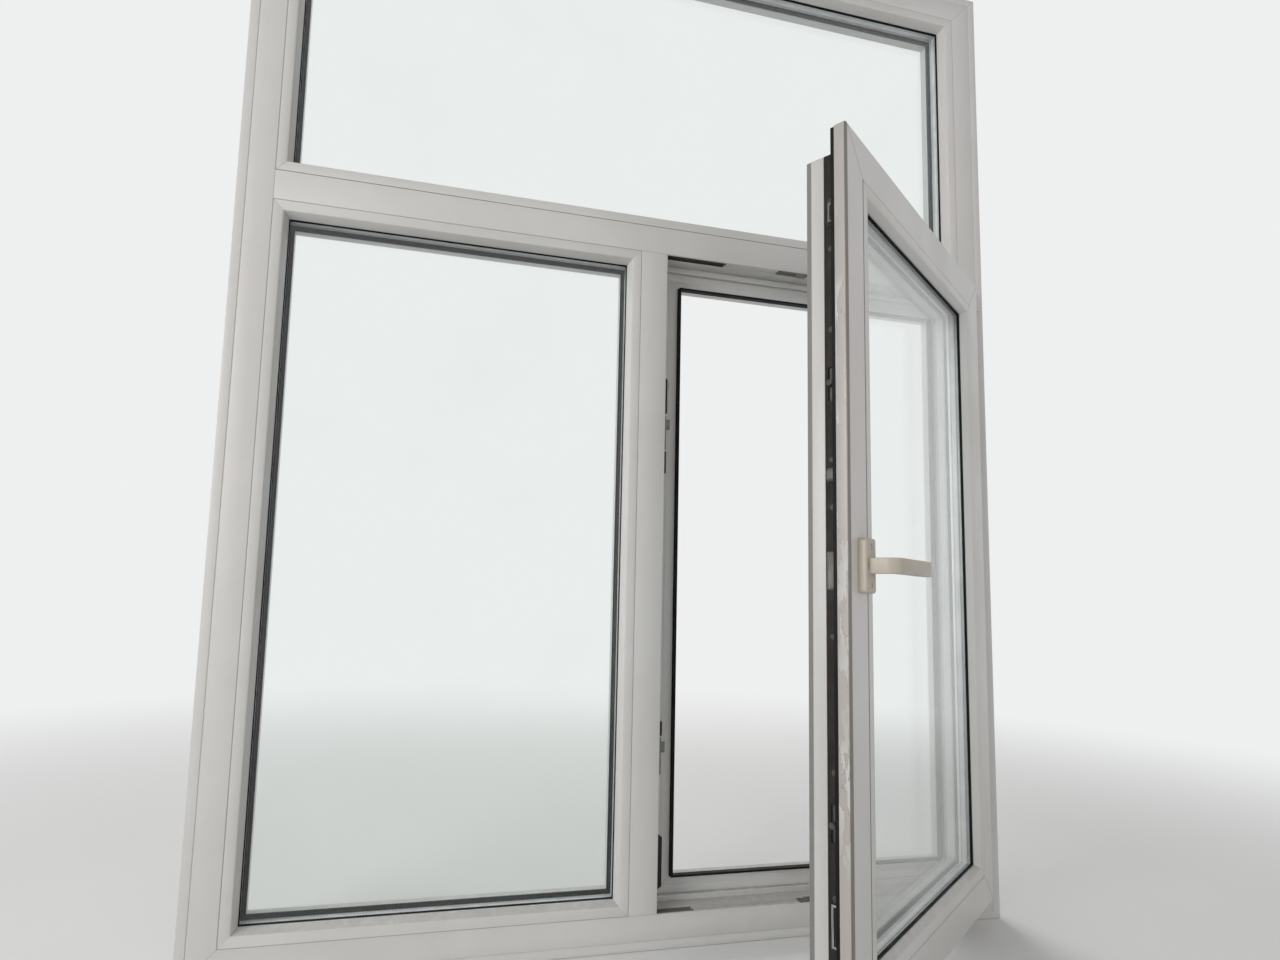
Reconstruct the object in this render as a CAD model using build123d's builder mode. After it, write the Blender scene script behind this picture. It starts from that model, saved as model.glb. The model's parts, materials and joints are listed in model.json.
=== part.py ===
"""Three light plastic window: two fixed lights and one tilt and turn sash, in its frame.

X runs to the right seen from the room, Y runs from the room towards the outside,
Z runs up. The room face of the frame is Y = 0 and its underside is Z = 0.
The sash is drawn closed and every sash piece is then swung to the photographed angle.
All sizes are in millimetres.
"""

import math
import os

from build123d import *

os.makedirs("parts", exist_ok=True)

# whole window
frame_w = 1250.0
frame_h = 1660.0
frame_d = 62.0
face = 50.0
leg_h = 22.0
leg_y = 46.5
bar = 44.0
transom_z = 1072.0
face_line = 13.0

# walls and chambers of the extruded profiles
wall = 2.6
web = 1.4
air = 12.0
bead_slot_y0 = 12.0
bead_slot_y1 = 16.0
bead_slot_deep = 6.0

# steel stiffeners and the chamber that holds them
steel_t = 1.5
steel_gap = 0.6
main_in = 9.0
main_y0 = 12.0
main_y1 = 36.0

# fixings through the jambs into the wall
fixing_heights = (200.0, 620.0, 1040.0, 1460.0)
fixing_y = 24.0
fixing_r = 4.0
fixing_clear = 0.5

# sides of the small screws and screw holes that repeat
small_sides = 8
head_sides = 12

# glazing
pane_t = 4.0
unit_t = 24.0
edge_gap = 5.0
seal_w = 6.0
spacer_w = 6.5
bead_h = 20.0
bead_flat = 13.0
bead_wall = 1.6
fixed_bead_d = 17.0
sash_bead_d = 12.0
rubber = 3.0
back_rubber = 2.5
lip_show = 1.0

# sash section
overlap = 8.0
flange_w = air + overlap
flange_t = 15.0
sash_y0 = -21.0
sash_d = 58.0
sash_face = 50.0
sash_leg_h = 22.0

# hardware
groove_axis = 13.0
plate_w = 16.0
plate_t = 2.4
rod_w = 10.0
rod_t = 2.0
groove_w = 12.0
groove_deep = 8.0
cam_r = 3.5
cam_high = 8.0

# hinge
pin_x_off = 9.0
pin_y = -11.0
pin_r = 3.0
pin_play = 0.05
rest_angle = 34.0

# handle
handle_in = 34.0
lever_len = 118.0
lever_out = 42.0
spindle_s = 7.0
rosette_w = 28.0
rosette_h = 62.0
rosette_t = 10.0

# derived lines of the frame
x_out = frame_w / 2
x_open = x_out - face
z_sill = face
z_head = frame_h - face
z_up = transom_z + bar
x_mul = bar / 2
hinge_x = x_open + overlap + pin_x_off
sash_y1 = sash_y0 + sash_d
flange_y1 = sash_y0 + flange_t
axis_y = flange_y1 + groove_axis

# closed sash outline
sx0 = x_mul - overlap
sx1 = x_open + overlap
sz0 = z_sill - overlap
sz1 = transom_z + overlap
handle_x = sx0 + handle_in
handle_z = (sz0 + sz1) / 2
tilt_z = sz0 + 8.0
edge_x = sx0 + flange_w
plate_x = edge_x + plate_t
rod_x0 = plate_x + 0.2
rod_x1 = rod_x0 + rod_t
pitch_r = handle_x - (rod_x0 + rod_x1) / 2
travel = pitch_r * math.pi / 2


def block(x0, x1, y0, y1, z0, z1, mode=Mode.ADD):
    """A plain box between two corners."""
    with Locations(((x0 + x1) / 2, (y0 + y1) / 2, (z0 + z1) / 2)):
        Box(x1 - x0, y1 - y0, z1 - z0, mode=mode)


def ring(box, t0, t1, y0, y1, mode=Mode.ADD):
    """A rectangular ring lying in the window plane, from inset t0 to inset t1."""
    x0, x1, z0, z1 = box
    centre = ((x0 + x1) / 2, (z0 + z1) / 2)
    with BuildSketch(Plane.XZ.offset(-y1)) as outline:
        with Locations(centre):
            Rectangle(x1 - x0 - 2 * t0, z1 - z0 - 2 * t0)
            Rectangle(x1 - x0 - 2 * t1, z1 - z0 - 2 * t1, mode=Mode.SUBTRACT)
    extrude(outline.sketch, amount=y1 - y0, mode=mode)


def rod(x, y, z, r, length, axis, mode=Mode.ADD, sides=0):
    """A bar from a point along one axis: round, or with a few flat sides where it repeats."""
    planes = {
        "x": Plane(origin=(x, y, z), x_dir=(0, 1, 0), z_dir=(1, 0, 0)),
        "y": Plane(origin=(x, y, z), x_dir=(1, 0, 0), z_dir=(0, 1, 0)),
        "z": Plane(origin=(x, y, z), x_dir=(1, 0, 0), z_dir=(0, 0, 1)),
    }
    with BuildSketch(planes[axis]) as spot:
        if sides:
            RegularPolygon(r, sides, major_radius=False)
        else:
            Circle(r)
    extrude(spot.sketch, amount=length, mode=mode)


frame_box = (-x_out, x_out, 0.0, frame_h)
upper_box = (-x_open, x_open, z_up, z_head)
left_box = (-x_open, -x_mul, z_sill, transom_z)
case_box = (x_mul, x_open, z_sill, transom_z)
sash_box = (sx0, sx1, sz0, sz1)
glass_box = (sx0 + sash_face, sx1 - sash_face, sz0 + sash_face, sz1 - sash_face)

parts = {}


def keep(builder, name, with_sash=False):
    """Label a piece, swing it open if the sash carries it, and write its file."""
    piece = builder.part
    if with_sash:
        piece = piece.rotate(Axis((hinge_x, pin_y, 0), (0, 0, 1)), rest_angle)
    piece.label = name
    parts[name] = piece
    export_step(piece, f"parts/{name}.step")


# the welded outer frame, a ring of mitred hollow extrusions
main_t0 = main_in
main_t1 = face - main_in - 1.0

with BuildPart() as outer_frame:
    ring(frame_box, 0.0, face, 0.0, leg_y)
    ring(frame_box, 0.0, face + leg_h, leg_y, frame_d)
    # the fine line along the face beside the wall
    ring(frame_box, face_line, face_line + 1.0, -1.0, 0.8, Mode.SUBTRACT)
    # chambers: room side, steel, outer side and the leg
    ring(frame_box, wall, face - wall, wall, main_y0 - web, Mode.SUBTRACT)
    ring(frame_box, main_t0, main_t1, main_y0, main_y1, Mode.SUBTRACT)
    ring(frame_box, wall, face - wall, main_y1 + web, leg_y - web, Mode.SUBTRACT)
    ring(frame_box, wall, face + leg_h - wall, leg_y + web, frame_d - wall, Mode.SUBTRACT)
    # groove that takes the bead feet and the filler strips
    ring(frame_box, face - bead_slot_deep, face, bead_slot_y0, bead_slot_y1, Mode.SUBTRACT)
    # anchor ribs on the outer edge, towards the wall
    ring(frame_box, 0.0, 3.0, 18.0, 30.0, Mode.SUBTRACT)
    # fixing holes in the outer wall of both jambs, and openings for the driver in the inner wall
    for hole_z in fixing_heights:
        for side in (-1, 1):
            seat = min(side * (x_out + 1.0), side * (x_out - main_t0 - 1.0))
            rod(seat, fixing_y, hole_z, fixing_r, main_t0 + 2.0, "x", Mode.SUBTRACT)
            reach = min(side * (x_open - 1.0), side * (x_out - main_t1 + 1.0))
            rod(reach, fixing_y, hole_z, fixing_r, face - main_t1 + 2.0, "x", Mode.SUBTRACT, small_sides)
    # drain slots through the leg, outside
    for slot_x in (-460.0, -140.0, 140.0, 460.0):
        block(slot_x - 14, slot_x + 14, frame_d - 4, frame_d + 1, 30.0, 35.0, Mode.SUBTRACT)
keep(outer_frame, "outer_frame")


def bar_section(plane, half, lines):
    """T section of transom and mullion, with its chambers, drawn across the bar."""
    with BuildSketch(plane) as section:
        with Locations((0, leg_y / 2)):
            Rectangle(2 * half, leg_y)
        with Locations((0, (leg_y + frame_d) / 2)):
            Rectangle(2 * (half + leg_h), frame_d - leg_y)
        with Locations((0, (wall + main_y0 - web) / 2)):
            Rectangle(2 * (half - wall), main_y0 - web - wall, mode=Mode.SUBTRACT)
        with Locations((0, (main_y0 + main_y1) / 2)):
            Rectangle(2 * (half - lines), main_y1 - main_y0, mode=Mode.SUBTRACT)
        with Locations((0, (main_y1 + web + leg_y - web) / 2)):
            Rectangle(2 * (half - wall), leg_y - main_y1 - 2 * web, mode=Mode.SUBTRACT)
        with Locations((0, (leg_y + web + frame_d - wall) / 2)):
            Rectangle(2 * (half + leg_h - wall), frame_d - wall - leg_y - web, mode=Mode.SUBTRACT)
        for side in (-1, 1):
            with Locations((side * (half - bead_slot_deep / 2), (bead_slot_y0 + bead_slot_y1) / 2)):
                Rectangle(bead_slot_deep, bead_slot_y1 - bead_slot_y0, mode=Mode.SUBTRACT)
    return section.sketch


bar_in = 8.5
across_transom = Plane(origin=(-x_open, 0, (transom_z + z_up) / 2), x_dir=(0, 0, -1), z_dir=(1, 0, 0))
across_mullion = Plane(origin=(0, 0, z_sill), x_dir=(1, 0, 0), z_dir=(0, 0, 1))

with BuildPart() as transom:
    extrude(bar_section(across_transom, bar / 2, bar_in), amount=2 * x_open)
    # the leg is milled back where it meets the frame leg
    for side in (-1, 1):
        edge = side * x_open
        inner = side * (x_open - leg_h)
        block(min(edge, inner), max(edge, inner), leg_y, frame_d + 1, transom_z - leg_h - 1,
              z_up + leg_h + 1, Mode.SUBTRACT)
keep(transom, "transom")

with BuildPart() as mullion:
    extrude(bar_section(across_mullion, bar / 2, bar_in), amount=transom_z - z_sill)
    for low, high in ((z_sill - 1, z_sill + leg_h), (transom_z - leg_h, transom_z + 1)):
        block(-x_mul - leg_h - 1, x_mul + leg_h + 1, leg_y, frame_d + 1, low, high, Mode.SUBTRACT)
keep(mullion, "mullion")

# steel stiffeners pushed into the main chambers, each an open channel
def channel_z(x0, x1, z0, z1):
    block(x0, x1, main_y0 + steel_gap, main_y1 - steel_gap, z0, z1)
    block(x0 + steel_t, x1 - steel_t, main_y0 + steel_gap + steel_t, main_y1, z0 - 1, z1 + 1, Mode.SUBTRACT)


def channel_x(x0, x1, z0, z1):
    block(x0, x1, main_y0 + steel_gap, main_y1 - steel_gap, z0, z1)
    block(x0 - 1, x1 + 1, main_y0 + steel_gap + steel_t, main_y1, z0 + steel_t, z1 - steel_t, Mode.SUBTRACT)


with BuildPart() as jamb_steel:
    channel_z(-x_out + main_t0 + steel_gap, -x_out + main_t1 - steel_gap, 60.0, frame_h - 60.0)
    channel_z(x_out - main_t1 + steel_gap, x_out - main_t0 - steel_gap, 60.0, frame_h - 60.0)
    # square windows in the steel, clear of the fixings
    clear = fixing_r + fixing_clear
    for hole_z in fixing_heights:
        block(-x_out, x_out, fixing_y - clear, fixing_y + clear, hole_z - clear, hole_z + clear, Mode.SUBTRACT)
keep(jamb_steel, "jamb_steel")

with BuildPart() as rail_steel:
    channel_x(-x_out + 60.0, x_out - 60.0, main_t0 + steel_gap, main_t1 - steel_gap)
    channel_x(-x_out + 60.0, x_out - 60.0, frame_h - main_t1 + steel_gap, frame_h - main_t0 - steel_gap)
keep(rail_steel, "rail_steel")

with BuildPart() as transom_steel:
    channel_x(-x_open + 8, x_open - 8, transom_z + bar_in + steel_gap, z_up - bar_in - steel_gap)
keep(transom_steel, "transom_steel")

with BuildPart() as mullion_steel:
    channel_z(-x_mul + bar_in + steel_gap, x_mul - bar_in - steel_gap, z_sill + 8, transom_z - 8)
keep(mullion_steel, "mullion_steel")


# glazing beads: a flush strip, a slope down to the glass and a foot in the groove
def bead_face(plane, deep, foot_y):
    """Bead section: first axis runs from the bead line to the glass, second runs outwards."""
    w = bead_wall
    with BuildSketch(plane) as section:
        with BuildLine():
            Polyline((0.05, 0), (bead_flat, 0), (bead_flat + 2.0, 0.8), (bead_h, deep - 2.5), (bead_h, deep),
                     (0.05, deep), close=True)
        make_face()
        with BuildLine():
            Polyline((w, w), (bead_flat - 0.5, w), (bead_h - w - 0.9, deep - w), (w, deep - w), close=True)
        make_face(mode=Mode.SUBTRACT)
        if foot_y:
            with Locations((-1.9, foot_y)):
                Rectangle(4.0, 2.4)
    return section.sketch


def upright_pair(box, y0, deep, foot_y):
    """Left and right beads of one light, mitred at both ends."""
    x0, x1, z0, z1 = box
    mid = (x0 + x1) / 2
    with BuildPart() as pair:
        base = Plane(origin=(x0, y0, z0), x_dir=(1, 0, 0), z_dir=(0, 0, 1))
        extrude(bead_face(base, deep, foot_y), amount=z1 - z0)
        with BuildSketch(Plane.XZ.offset(-y0 - deep - 1)) as shape:
            with BuildLine():
                Polyline((x0 - 4, z0 - 4), (x0 + bead_h + 1, z0 + bead_h + 1),
                         (x0 + bead_h + 1, z1 - bead_h - 1), (x0 - 4, z1 + 4), close=True)
            make_face()
        extrude(shape.sketch, amount=deep + 2, mode=Mode.INTERSECT)
        mirror(about=Plane.YZ.offset(mid))
    return pair


def level_pair(box, y0, deep, foot_y):
    """Lower and upper beads of one light, mitred at both ends."""
    x0, x1, z0, z1 = box
    mid = (z0 + z1) / 2
    with BuildPart() as pair:
        base = Plane(origin=(x1, y0, z0), x_dir=(0, 0, 1), z_dir=(-1, 0, 0))
        extrude(bead_face(base, deep, foot_y), amount=x1 - x0)
        with BuildSketch(Plane.XZ.offset(-y0 - deep - 1)) as shape:
            with BuildLine():
                Polyline((x0 - 4, z0 - 4), (x0 + bead_h + 1, z0 + bead_h + 1),
                         (x1 - bead_h - 1, z0 + bead_h + 1), (x1 + 4, z0 - 4), close=True)
            make_face()
        extrude(shape.sketch, amount=deep + 2, mode=Mode.INTERSECT)
        mirror(about=Plane.XY.offset(mid))
    return pair


foot_mid = (bead_slot_y0 + bead_slot_y1) / 2
keep(upright_pair(upper_box, 0.0, fixed_bead_d, foot_mid), "upper_beads_upright")
keep(level_pair(upper_box, 0.0, fixed_bead_d, foot_mid), "upper_beads_level")
keep(upright_pair(left_box, 0.0, fixed_bead_d, foot_mid), "left_beads_upright")
keep(level_pair(left_box, 0.0, fixed_bead_d, foot_mid), "left_beads_level")


# sealed glass units, packers and gaskets, one set for each light
def pane(box, y0):
    x0, x1, z0, z1 = box
    with BuildPart() as sheet:
        block(x0 + edge_gap, x1 - edge_gap, y0, y0 + pane_t, z0 + edge_gap, z1 - edge_gap)
    return sheet


def spacer(box, y0):
    """Spacer bar with its edge seal, between the two panes."""
    with BuildPart() as frame_bar:
        ring(box, edge_gap + 0.3, edge_gap + seal_w + spacer_w, y0 + pane_t, y0 + unit_t - pane_t)
        hollow = edge_gap + seal_w + 0.8
        ring(box, hollow, hollow + spacer_w - 1.6, y0 + pane_t + 1.2, y0 + unit_t - pane_t - 1.2, Mode.SUBTRACT)
    return frame_bar


def inner_gasket(box, y1):
    """Room side gasket: a strip behind the bead with a lip that shows past it."""
    with BuildPart() as strip:
        ring(box, bead_h - 8.0, bead_h + lip_show, y1 - rubber, y1)
        ring(box, bead_h + 0.05, bead_h + lip_show, y1 - rubber - 0.9, y1 - rubber)
    return strip


def packers(boxes, y0):
    """Glazing packers under and beside each unit."""
    with BuildPart() as blocks:
        for x0, x1, z0, z1 in boxes:
            for px in (x0 + 70.0, x1 - 170.0):
                block(px, px + 100.0, y0 + 0.5, y0 + unit_t - 0.5, z0, z0 + edge_gap)
                block(px, px + 100.0, y0 + 0.5, y0 + unit_t - 0.5, z1 - edge_gap + 0.3, z1)
            for pz in (z0 + 70.0, z1 - 170.0):
                block(x0, x0 + edge_gap - 0.3, y0 + 0.5, y0 + unit_t - 0.5, pz, pz + 100.0)
                block(x1 - edge_gap + 0.3, x1, y0 + 0.5, y0 + unit_t - 0.5, pz, pz + 100.0)
    return blocks


fixed_glass_y = fixed_bead_d + rubber
for light, box in (("upper", upper_box), ("left", left_box)):
    keep(pane(box, fixed_glass_y), f"{light}_inner_pane")
    keep(pane(box, fixed_glass_y + unit_t - pane_t), f"{light}_outer_pane")
    keep(spacer(box, fixed_glass_y), f"{light}_spacer")
    keep(inner_gasket(box, fixed_glass_y), f"{light}_bead_gasket")

with BuildPart() as upper_leg_gasket:
    ring(upper_box, leg_h - 7.0, leg_h + 1.2, leg_y - back_rubber, leg_y)
keep(upper_leg_gasket, "upper_leg_gasket")

with BuildPart() as left_leg_gasket:
    ring(left_box, leg_h - 7.0, leg_h + 1.2, leg_y - back_rubber, leg_y)
keep(left_leg_gasket, "left_leg_gasket")

# the stop gasket that the closed sash presses on: base strip and a leaning lip
stop_gap = leg_y - sash_y1
with BuildPart() as stop_gasket:
    ring(case_box, leg_h - 5.0, leg_h + 1.6, leg_y - 1.8, leg_y)
    ring(case_box, leg_h - 1.6, leg_h + 1.6, leg_y - stop_gap + 0.5, leg_y - 1.8)
keep(stop_gasket, "stop_gasket")

keep(packers((upper_box, left_box), fixed_glass_y), "frame_packers")

# filler strips in the bead groove of the opening
strip_start = 104.0
with BuildPart() as groove_strips:
    for z0, z1, x0, x1 in (
        (transom_z - 0.6, transom_z + bead_slot_deep - 1.5, x_mul + strip_start, x_open - 0.3),
        (z_sill - bead_slot_deep + 1.5, z_sill + 0.6, x_mul + 60.0, x_open - 60.0),
    ):
        block(x0, x1, bead_slot_y0 + 0.2, bead_slot_y1 - 0.2, z0, z1)
    block(x_mul - bead_slot_deep + 1.5, x_mul + 0.6, bead_slot_y0 + 0.2, bead_slot_y1 - 0.2, z_sill + 40.0,
          transom_z - 60.0)
    block(x_open - 0.6, x_open + bead_slot_deep - 1.5, bead_slot_y0 + 0.2, bead_slot_y1 - 0.2, z_sill + 30.0,
          transom_z - 30.0)
keep(groove_strips, "groove_strips")


# the sash: a welded ring of hollow extrusions with an overlapping room side flange
rod_y0 = axis_y - rod_w / 2
rod_y1 = axis_y + rod_w / 2
sash_glass_y = sash_y0 + sash_bead_d + rubber
sash_leg_y = sash_glass_y + unit_t + back_rubber
steel_t0 = 31.0
steel_t1 = 44.0
steel_y0 = flange_y1 + 2.0
steel_y1 = sash_leg_y - 2.0
gear_half = 62.0
gear_t1 = 47.0
sash_slot_y0 = sash_y0 + 4.0
sash_slot_y1 = sash_slot_y0 + 4.0

with BuildPart() as sash_frame:
    ring(sash_box, 0.0, sash_face, sash_y0, flange_y1)
    soft = [e for e in sash_frame.edges() if abs(e.center().Y - sash_y0) < 0.01]
    outer = [e for e in soft if e.length > sx1 - sx0 - 1.0]
    fillet(outer, 2.5)
    ring(sash_box, flange_w, sash_face, flange_y1, sash_leg_y)
    ring(sash_box, flange_w, sash_face + sash_leg_h, sash_leg_y, sash_y1)
    # chambers
    ring(sash_box, wall, sash_face - bead_slot_deep - 2.0, sash_y0 + wall, flange_y1 - wall, Mode.SUBTRACT)
    ring(sash_box, steel_t0, steel_t1, steel_y0, steel_y1, Mode.SUBTRACT)
    ring(sash_box, flange_w + wall, sash_face + sash_leg_h - wall, sash_leg_y + 0.5 + web, sash_y1 - wall,
         Mode.SUBTRACT)
    # hardware groove all round: recess for the face plates and a deeper run for the rods
    ring(sash_box, flange_w, flange_w + plate_t, axis_y - plate_w / 2 - 0.2, axis_y + plate_w / 2 + 0.2,
         Mode.SUBTRACT)
    ring(sash_box, flange_w + plate_t, flange_w + groove_deep, axis_y - groove_w / 2, axis_y + groove_w / 2,
         Mode.SUBTRACT)
    # bead groove
    ring(sash_box, sash_face - bead_slot_deep, sash_face, sash_slot_y0, sash_slot_y1, Mode.SUBTRACT)
    # pocket for the gearbox and holes for the spindle and the rosette screws
    block(plate_x, sx0 + gear_t1 + 0.4, axis_y - 7.9, axis_y + 7.9,
          handle_z - gear_half - 0.4, handle_z + gear_half + 0.4, Mode.SUBTRACT)
    rod(handle_x, sash_y0 - 1, handle_z, 6.0, axis_y - sash_y0, "y", Mode.SUBTRACT)
    for side in (-1, 1):
        rod(handle_x, sash_y0 - 1, handle_z + side * 21.5, 2.2, axis_y - sash_y0, "y", Mode.SUBTRACT, small_sides)
    # seat of the corner hinge bush in the lower flange end
    rod(sx1 - 20.0, pin_y, tilt_z, 4.6, 21.0, "x", Mode.SUBTRACT)
    block(sx1 - 16.2, sx1 - 7.8, pin_y + 2.0, flange_y1 + 0.1, tilt_z - 3.2, tilt_z + 3.2, Mode.SUBTRACT)
    block(sx1 - 46.2, sx1 - 7.8, flange_y1, flange_y1 + 1.9, tilt_z - 3.0, tilt_z + 60.2, Mode.SUBTRACT)
    # drain slots outside
    for slot_x in (160.0, 420.0):
        block(slot_x - 12, slot_x + 12, sash_y1 - 4, sash_y1 + 1, sz0 + flange_w + 6, sz0 + flange_w + 11,
              Mode.SUBTRACT)
keep(sash_frame, "sash_frame", True)

with BuildPart() as stile_steel:
    for x0 in (sx0 + steel_t0 + 0.5, sx1 - steel_t1 + 0.5):
        block(x0, x0 + steel_t1 - steel_t0 - 1.0, steel_y0 + 0.5, steel_y1 - 0.5, sz0 + 50, sz1 - 50)
        block(x0 + steel_t, x0 + steel_t1 - steel_t0 - 1.0 - steel_t, steel_y0 + 0.5 + steel_t, steel_y1, sz0 + 49,
              sz1 - 49, Mode.SUBTRACT)
    # both are cut away where the gearbox sits
    block(sx0, sx0 + 60, steel_y0 - 1, steel_y1 + 1, handle_z - gear_half - 2, handle_z + gear_half + 2,
          Mode.SUBTRACT)
    block(sx1 - 60, sx1, steel_y0 - 1, steel_y1 + 1, handle_z - gear_half - 2, handle_z + gear_half + 2,
          Mode.SUBTRACT)
keep(stile_steel, "stile_steel", True)

with BuildPart() as sash_rail_steel:
    for z0 in (sz0 + steel_t0 + 0.5, sz1 - steel_t1 + 0.5):
        block(sx0 + 50, sx1 - 50, steel_y0 + 0.5, steel_y1 - 0.5, z0, z0 + steel_t1 - steel_t0 - 1.0)
        block(sx0 + 49, sx1 - 49, steel_y0 + 0.5 + steel_t, steel_y1, z0 + steel_t,
              z0 + steel_t1 - steel_t0 - 1.0 - steel_t, Mode.SUBTRACT)
keep(sash_rail_steel, "sash_rail_steel", True)

sash_foot = (sash_slot_y0 + sash_slot_y1) / 2 - sash_y0
keep(upright_pair(glass_box, sash_y0, sash_bead_d, sash_foot), "sash_beads_upright", True)
keep(level_pair(glass_box, sash_y0, sash_bead_d, sash_foot), "sash_beads_level", True)
keep(pane(glass_box, sash_glass_y), "sash_inner_pane", True)
keep(pane(glass_box, sash_glass_y + unit_t - pane_t), "sash_outer_pane", True)
keep(spacer(glass_box, sash_glass_y), "sash_spacer", True)
keep(inner_gasket(glass_box, sash_glass_y), "sash_bead_gasket", True)
keep(packers((glass_box,), sash_glass_y), "sash_packers", True)

with BuildPart() as sash_leg_gasket:
    ring(glass_box, sash_leg_h - 7.0, sash_leg_h + 1.2, sash_leg_y - back_rubber, sash_leg_y)
keep(sash_leg_gasket, "sash_leg_gasket", True)

with BuildPart() as overlap_gasket:
    ring(sash_box, 0.8, 4.6, flange_y1, flange_y1 + 1.6)
    ring(sash_box, 0.8, 2.4, flange_y1 + 1.6, -1.6)
    # cut away where the stay arm passes
    block(sx1 - 12, sx1 + 4, flange_y1 - 1, 1, sz1 - 24, sz1 - 10, Mode.SUBTRACT)
keep(overlap_gasket, "overlap_gasket", True)

# espagnolette: face plates, gearbox and the rods that run behind the plates
cam_heights = (275.0, 774.0)
bottom_cam_x = 287.0
screw_heights = (196.0, 330.0, 480.0, 628.0, 684.0, 840.0, 940.0)
corner_leg = 92.0
slot_r = cam_r + 0.5
body_z0 = sz0 + flange_w
body_z1 = sz1 - flange_w
plate_y0 = axis_y - plate_w / 2
plate_y1 = axis_y + plate_w / 2
stay_len = 300.0
stay_x = hinge_x - stay_len
top_cam_x = stay_x - 48.0
rail_plate_end = sx1 - flange_w - 34.0
rail_screw_back = 59.0
rail_screw_end = 99.0
tilt_max = 8.0
stay_shift = 26.0

with BuildPart() as lock_plate:
    block(edge_x, plate_x, plate_y0, plate_y1, body_z0 + corner_leg + 0.4, body_z1 - corner_leg - 0.4)
    for z in cam_heights:
        block(edge_x - 1, plate_x + 1, axis_y - slot_r, axis_y + slot_r, z - travel - slot_r,
              z + travel + slot_r, Mode.SUBTRACT)
    for z in screw_heights:
        rod(edge_x - 1, axis_y, z, 2.1, plate_t + 2, "x", Mode.SUBTRACT, small_sides)
keep(lock_plate, "lock_plate", True)


def rail_plate(z0, cam_x):
    """Face plate on the bottom or top edge with one roller slot."""
    block(edge_x + corner_leg + 0.4, rail_plate_end, plate_y0, plate_y1, z0, z0 + plate_t)
    block(cam_x - travel - slot_r, cam_x + travel + slot_r, axis_y - slot_r, axis_y + slot_r, z0 - 1,
          z0 + plate_t + 1, Mode.SUBTRACT)
    for x in (cam_x - rail_screw_back, rail_plate_end - rail_screw_end):
        rod(x, axis_y, z0 - 1, 2.1, plate_t + 2, "z", Mode.SUBTRACT, small_sides)


with BuildPart() as bottom_plate:
    rail_plate(body_z0, bottom_cam_x)
keep(bottom_plate, "bottom_plate", True)

with BuildPart() as stay_plate:
    rail_plate(body_z1 - plate_t, top_cam_x)
    block(stay_x - 3.5, stay_x + stay_shift + 4.5, axis_y - 2.8, axis_y + 2.8, body_z1 - plate_t - 1, body_z1 + 1,
          Mode.SUBTRACT)
keep(stay_plate, "stay_plate", True)

with BuildPart() as corner_drives:
    for low in (True, False):
        zc = body_z0 if low else body_z1
        toward = 1 if low else -1
        # upright leg, level leg and the curved guide in the corner
        block(edge_x, plate_x, plate_y0, plate_y1, min(zc, zc + toward * corner_leg),
              max(zc, zc + toward * corner_leg))
        block(edge_x, edge_x + corner_leg, plate_y0, plate_y1, min(zc, zc + toward * plate_t),
              max(zc, zc + toward * plate_t))
        block(plate_x, plate_x + 5.0, axis_y - 5.5, axis_y + 5.5, min(zc + toward * plate_t, zc + toward * 7.4),
              max(zc + toward * plate_t, zc + toward * 7.4))
        rod(edge_x - 1, axis_y, zc + toward * 60.0, 2.1, plate_t + 2, "x", Mode.SUBTRACT, small_sides)
keep(corner_drives, "corner_drives", True)

# screws of the face plates, all alike
with BuildPart() as plate_screws:
    heights = screw_heights + (body_z0 + 60.0, body_z1 - 60.0)
    for z in heights:
        rod(edge_x - 0.8, axis_y, z, 3.4, 0.8, "x", sides=head_sides)
        rod(edge_x - 0.1, axis_y, z, 2.0, plate_t + 0.1, "x", sides=small_sides)
keep(plate_screws, "plate_screws", True)

# rods with their riveted rollers
window_pitch = 2 * math.pi * pitch_r / 16
with BuildPart() as side_rod:
    block(rod_x0, rod_x1, axis_y - rod_w / 2, axis_y + rod_w / 2, body_z0 + 52.0, body_z1 - 52.0)
    for z in cam_heights:
        rod(edge_x - cam_high, axis_y, z, cam_r, cam_high + plate_t + 0.3, "x")
    for z in heights:
        block(rod_x0 - 1, rod_x1 + 1, axis_y - 2.8, axis_y + 2.8, z - travel - 3.0, z + travel + 3.0,
              Mode.SUBTRACT)
    for step in range(-5, 6):
        mid = handle_z + step * window_pitch
        block(rod_x0 - 1, rod_x1 + 1, axis_y - 3.2, axis_y + 3.2, mid - 1.5, mid + 1.5, Mode.SUBTRACT)
keep(side_rod, "side_rod", True)

rod_z1 = body_z1 - plate_t - 0.2
with BuildPart() as top_rod:
    block(edge_x + 52.0, top_cam_x + 18.0, axis_y - rod_w / 2, axis_y + rod_w / 2, rod_z1 - rod_t, rod_z1)
    rod(top_cam_x, axis_y, rod_z1 - 0.1, cam_r, cam_high + plate_t + 0.3, "z")
    screw_x = top_cam_x - rail_screw_back
    block(screw_x - travel - 3, screw_x + travel + 3, axis_y - 2.8, axis_y + 2.8, rod_z1 - rod_t - 1, rod_z1 + 1,
          Mode.SUBTRACT)
keep(top_rod, "top_rod", True)

rod_z0 = body_z0 + plate_t + 0.2
with BuildPart() as bottom_rod:
    block(edge_x + 52.0, bottom_cam_x + 40.0, axis_y - rod_w / 2, axis_y + rod_w / 2, rod_z0, rod_z0 + rod_t)
    rod(bottom_cam_x, axis_y, body_z0 - cam_high, cam_r, cam_high + plate_t + 0.3, "z")
    screw_x = bottom_cam_x - rail_screw_back
    block(screw_x - travel - 3, screw_x + travel + 3, axis_y - 2.8, axis_y + 2.8, rod_z0 - 1, rod_z0 + rod_t + 1,
          Mode.SUBTRACT)
keep(bottom_rod, "bottom_rod", True)

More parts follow.
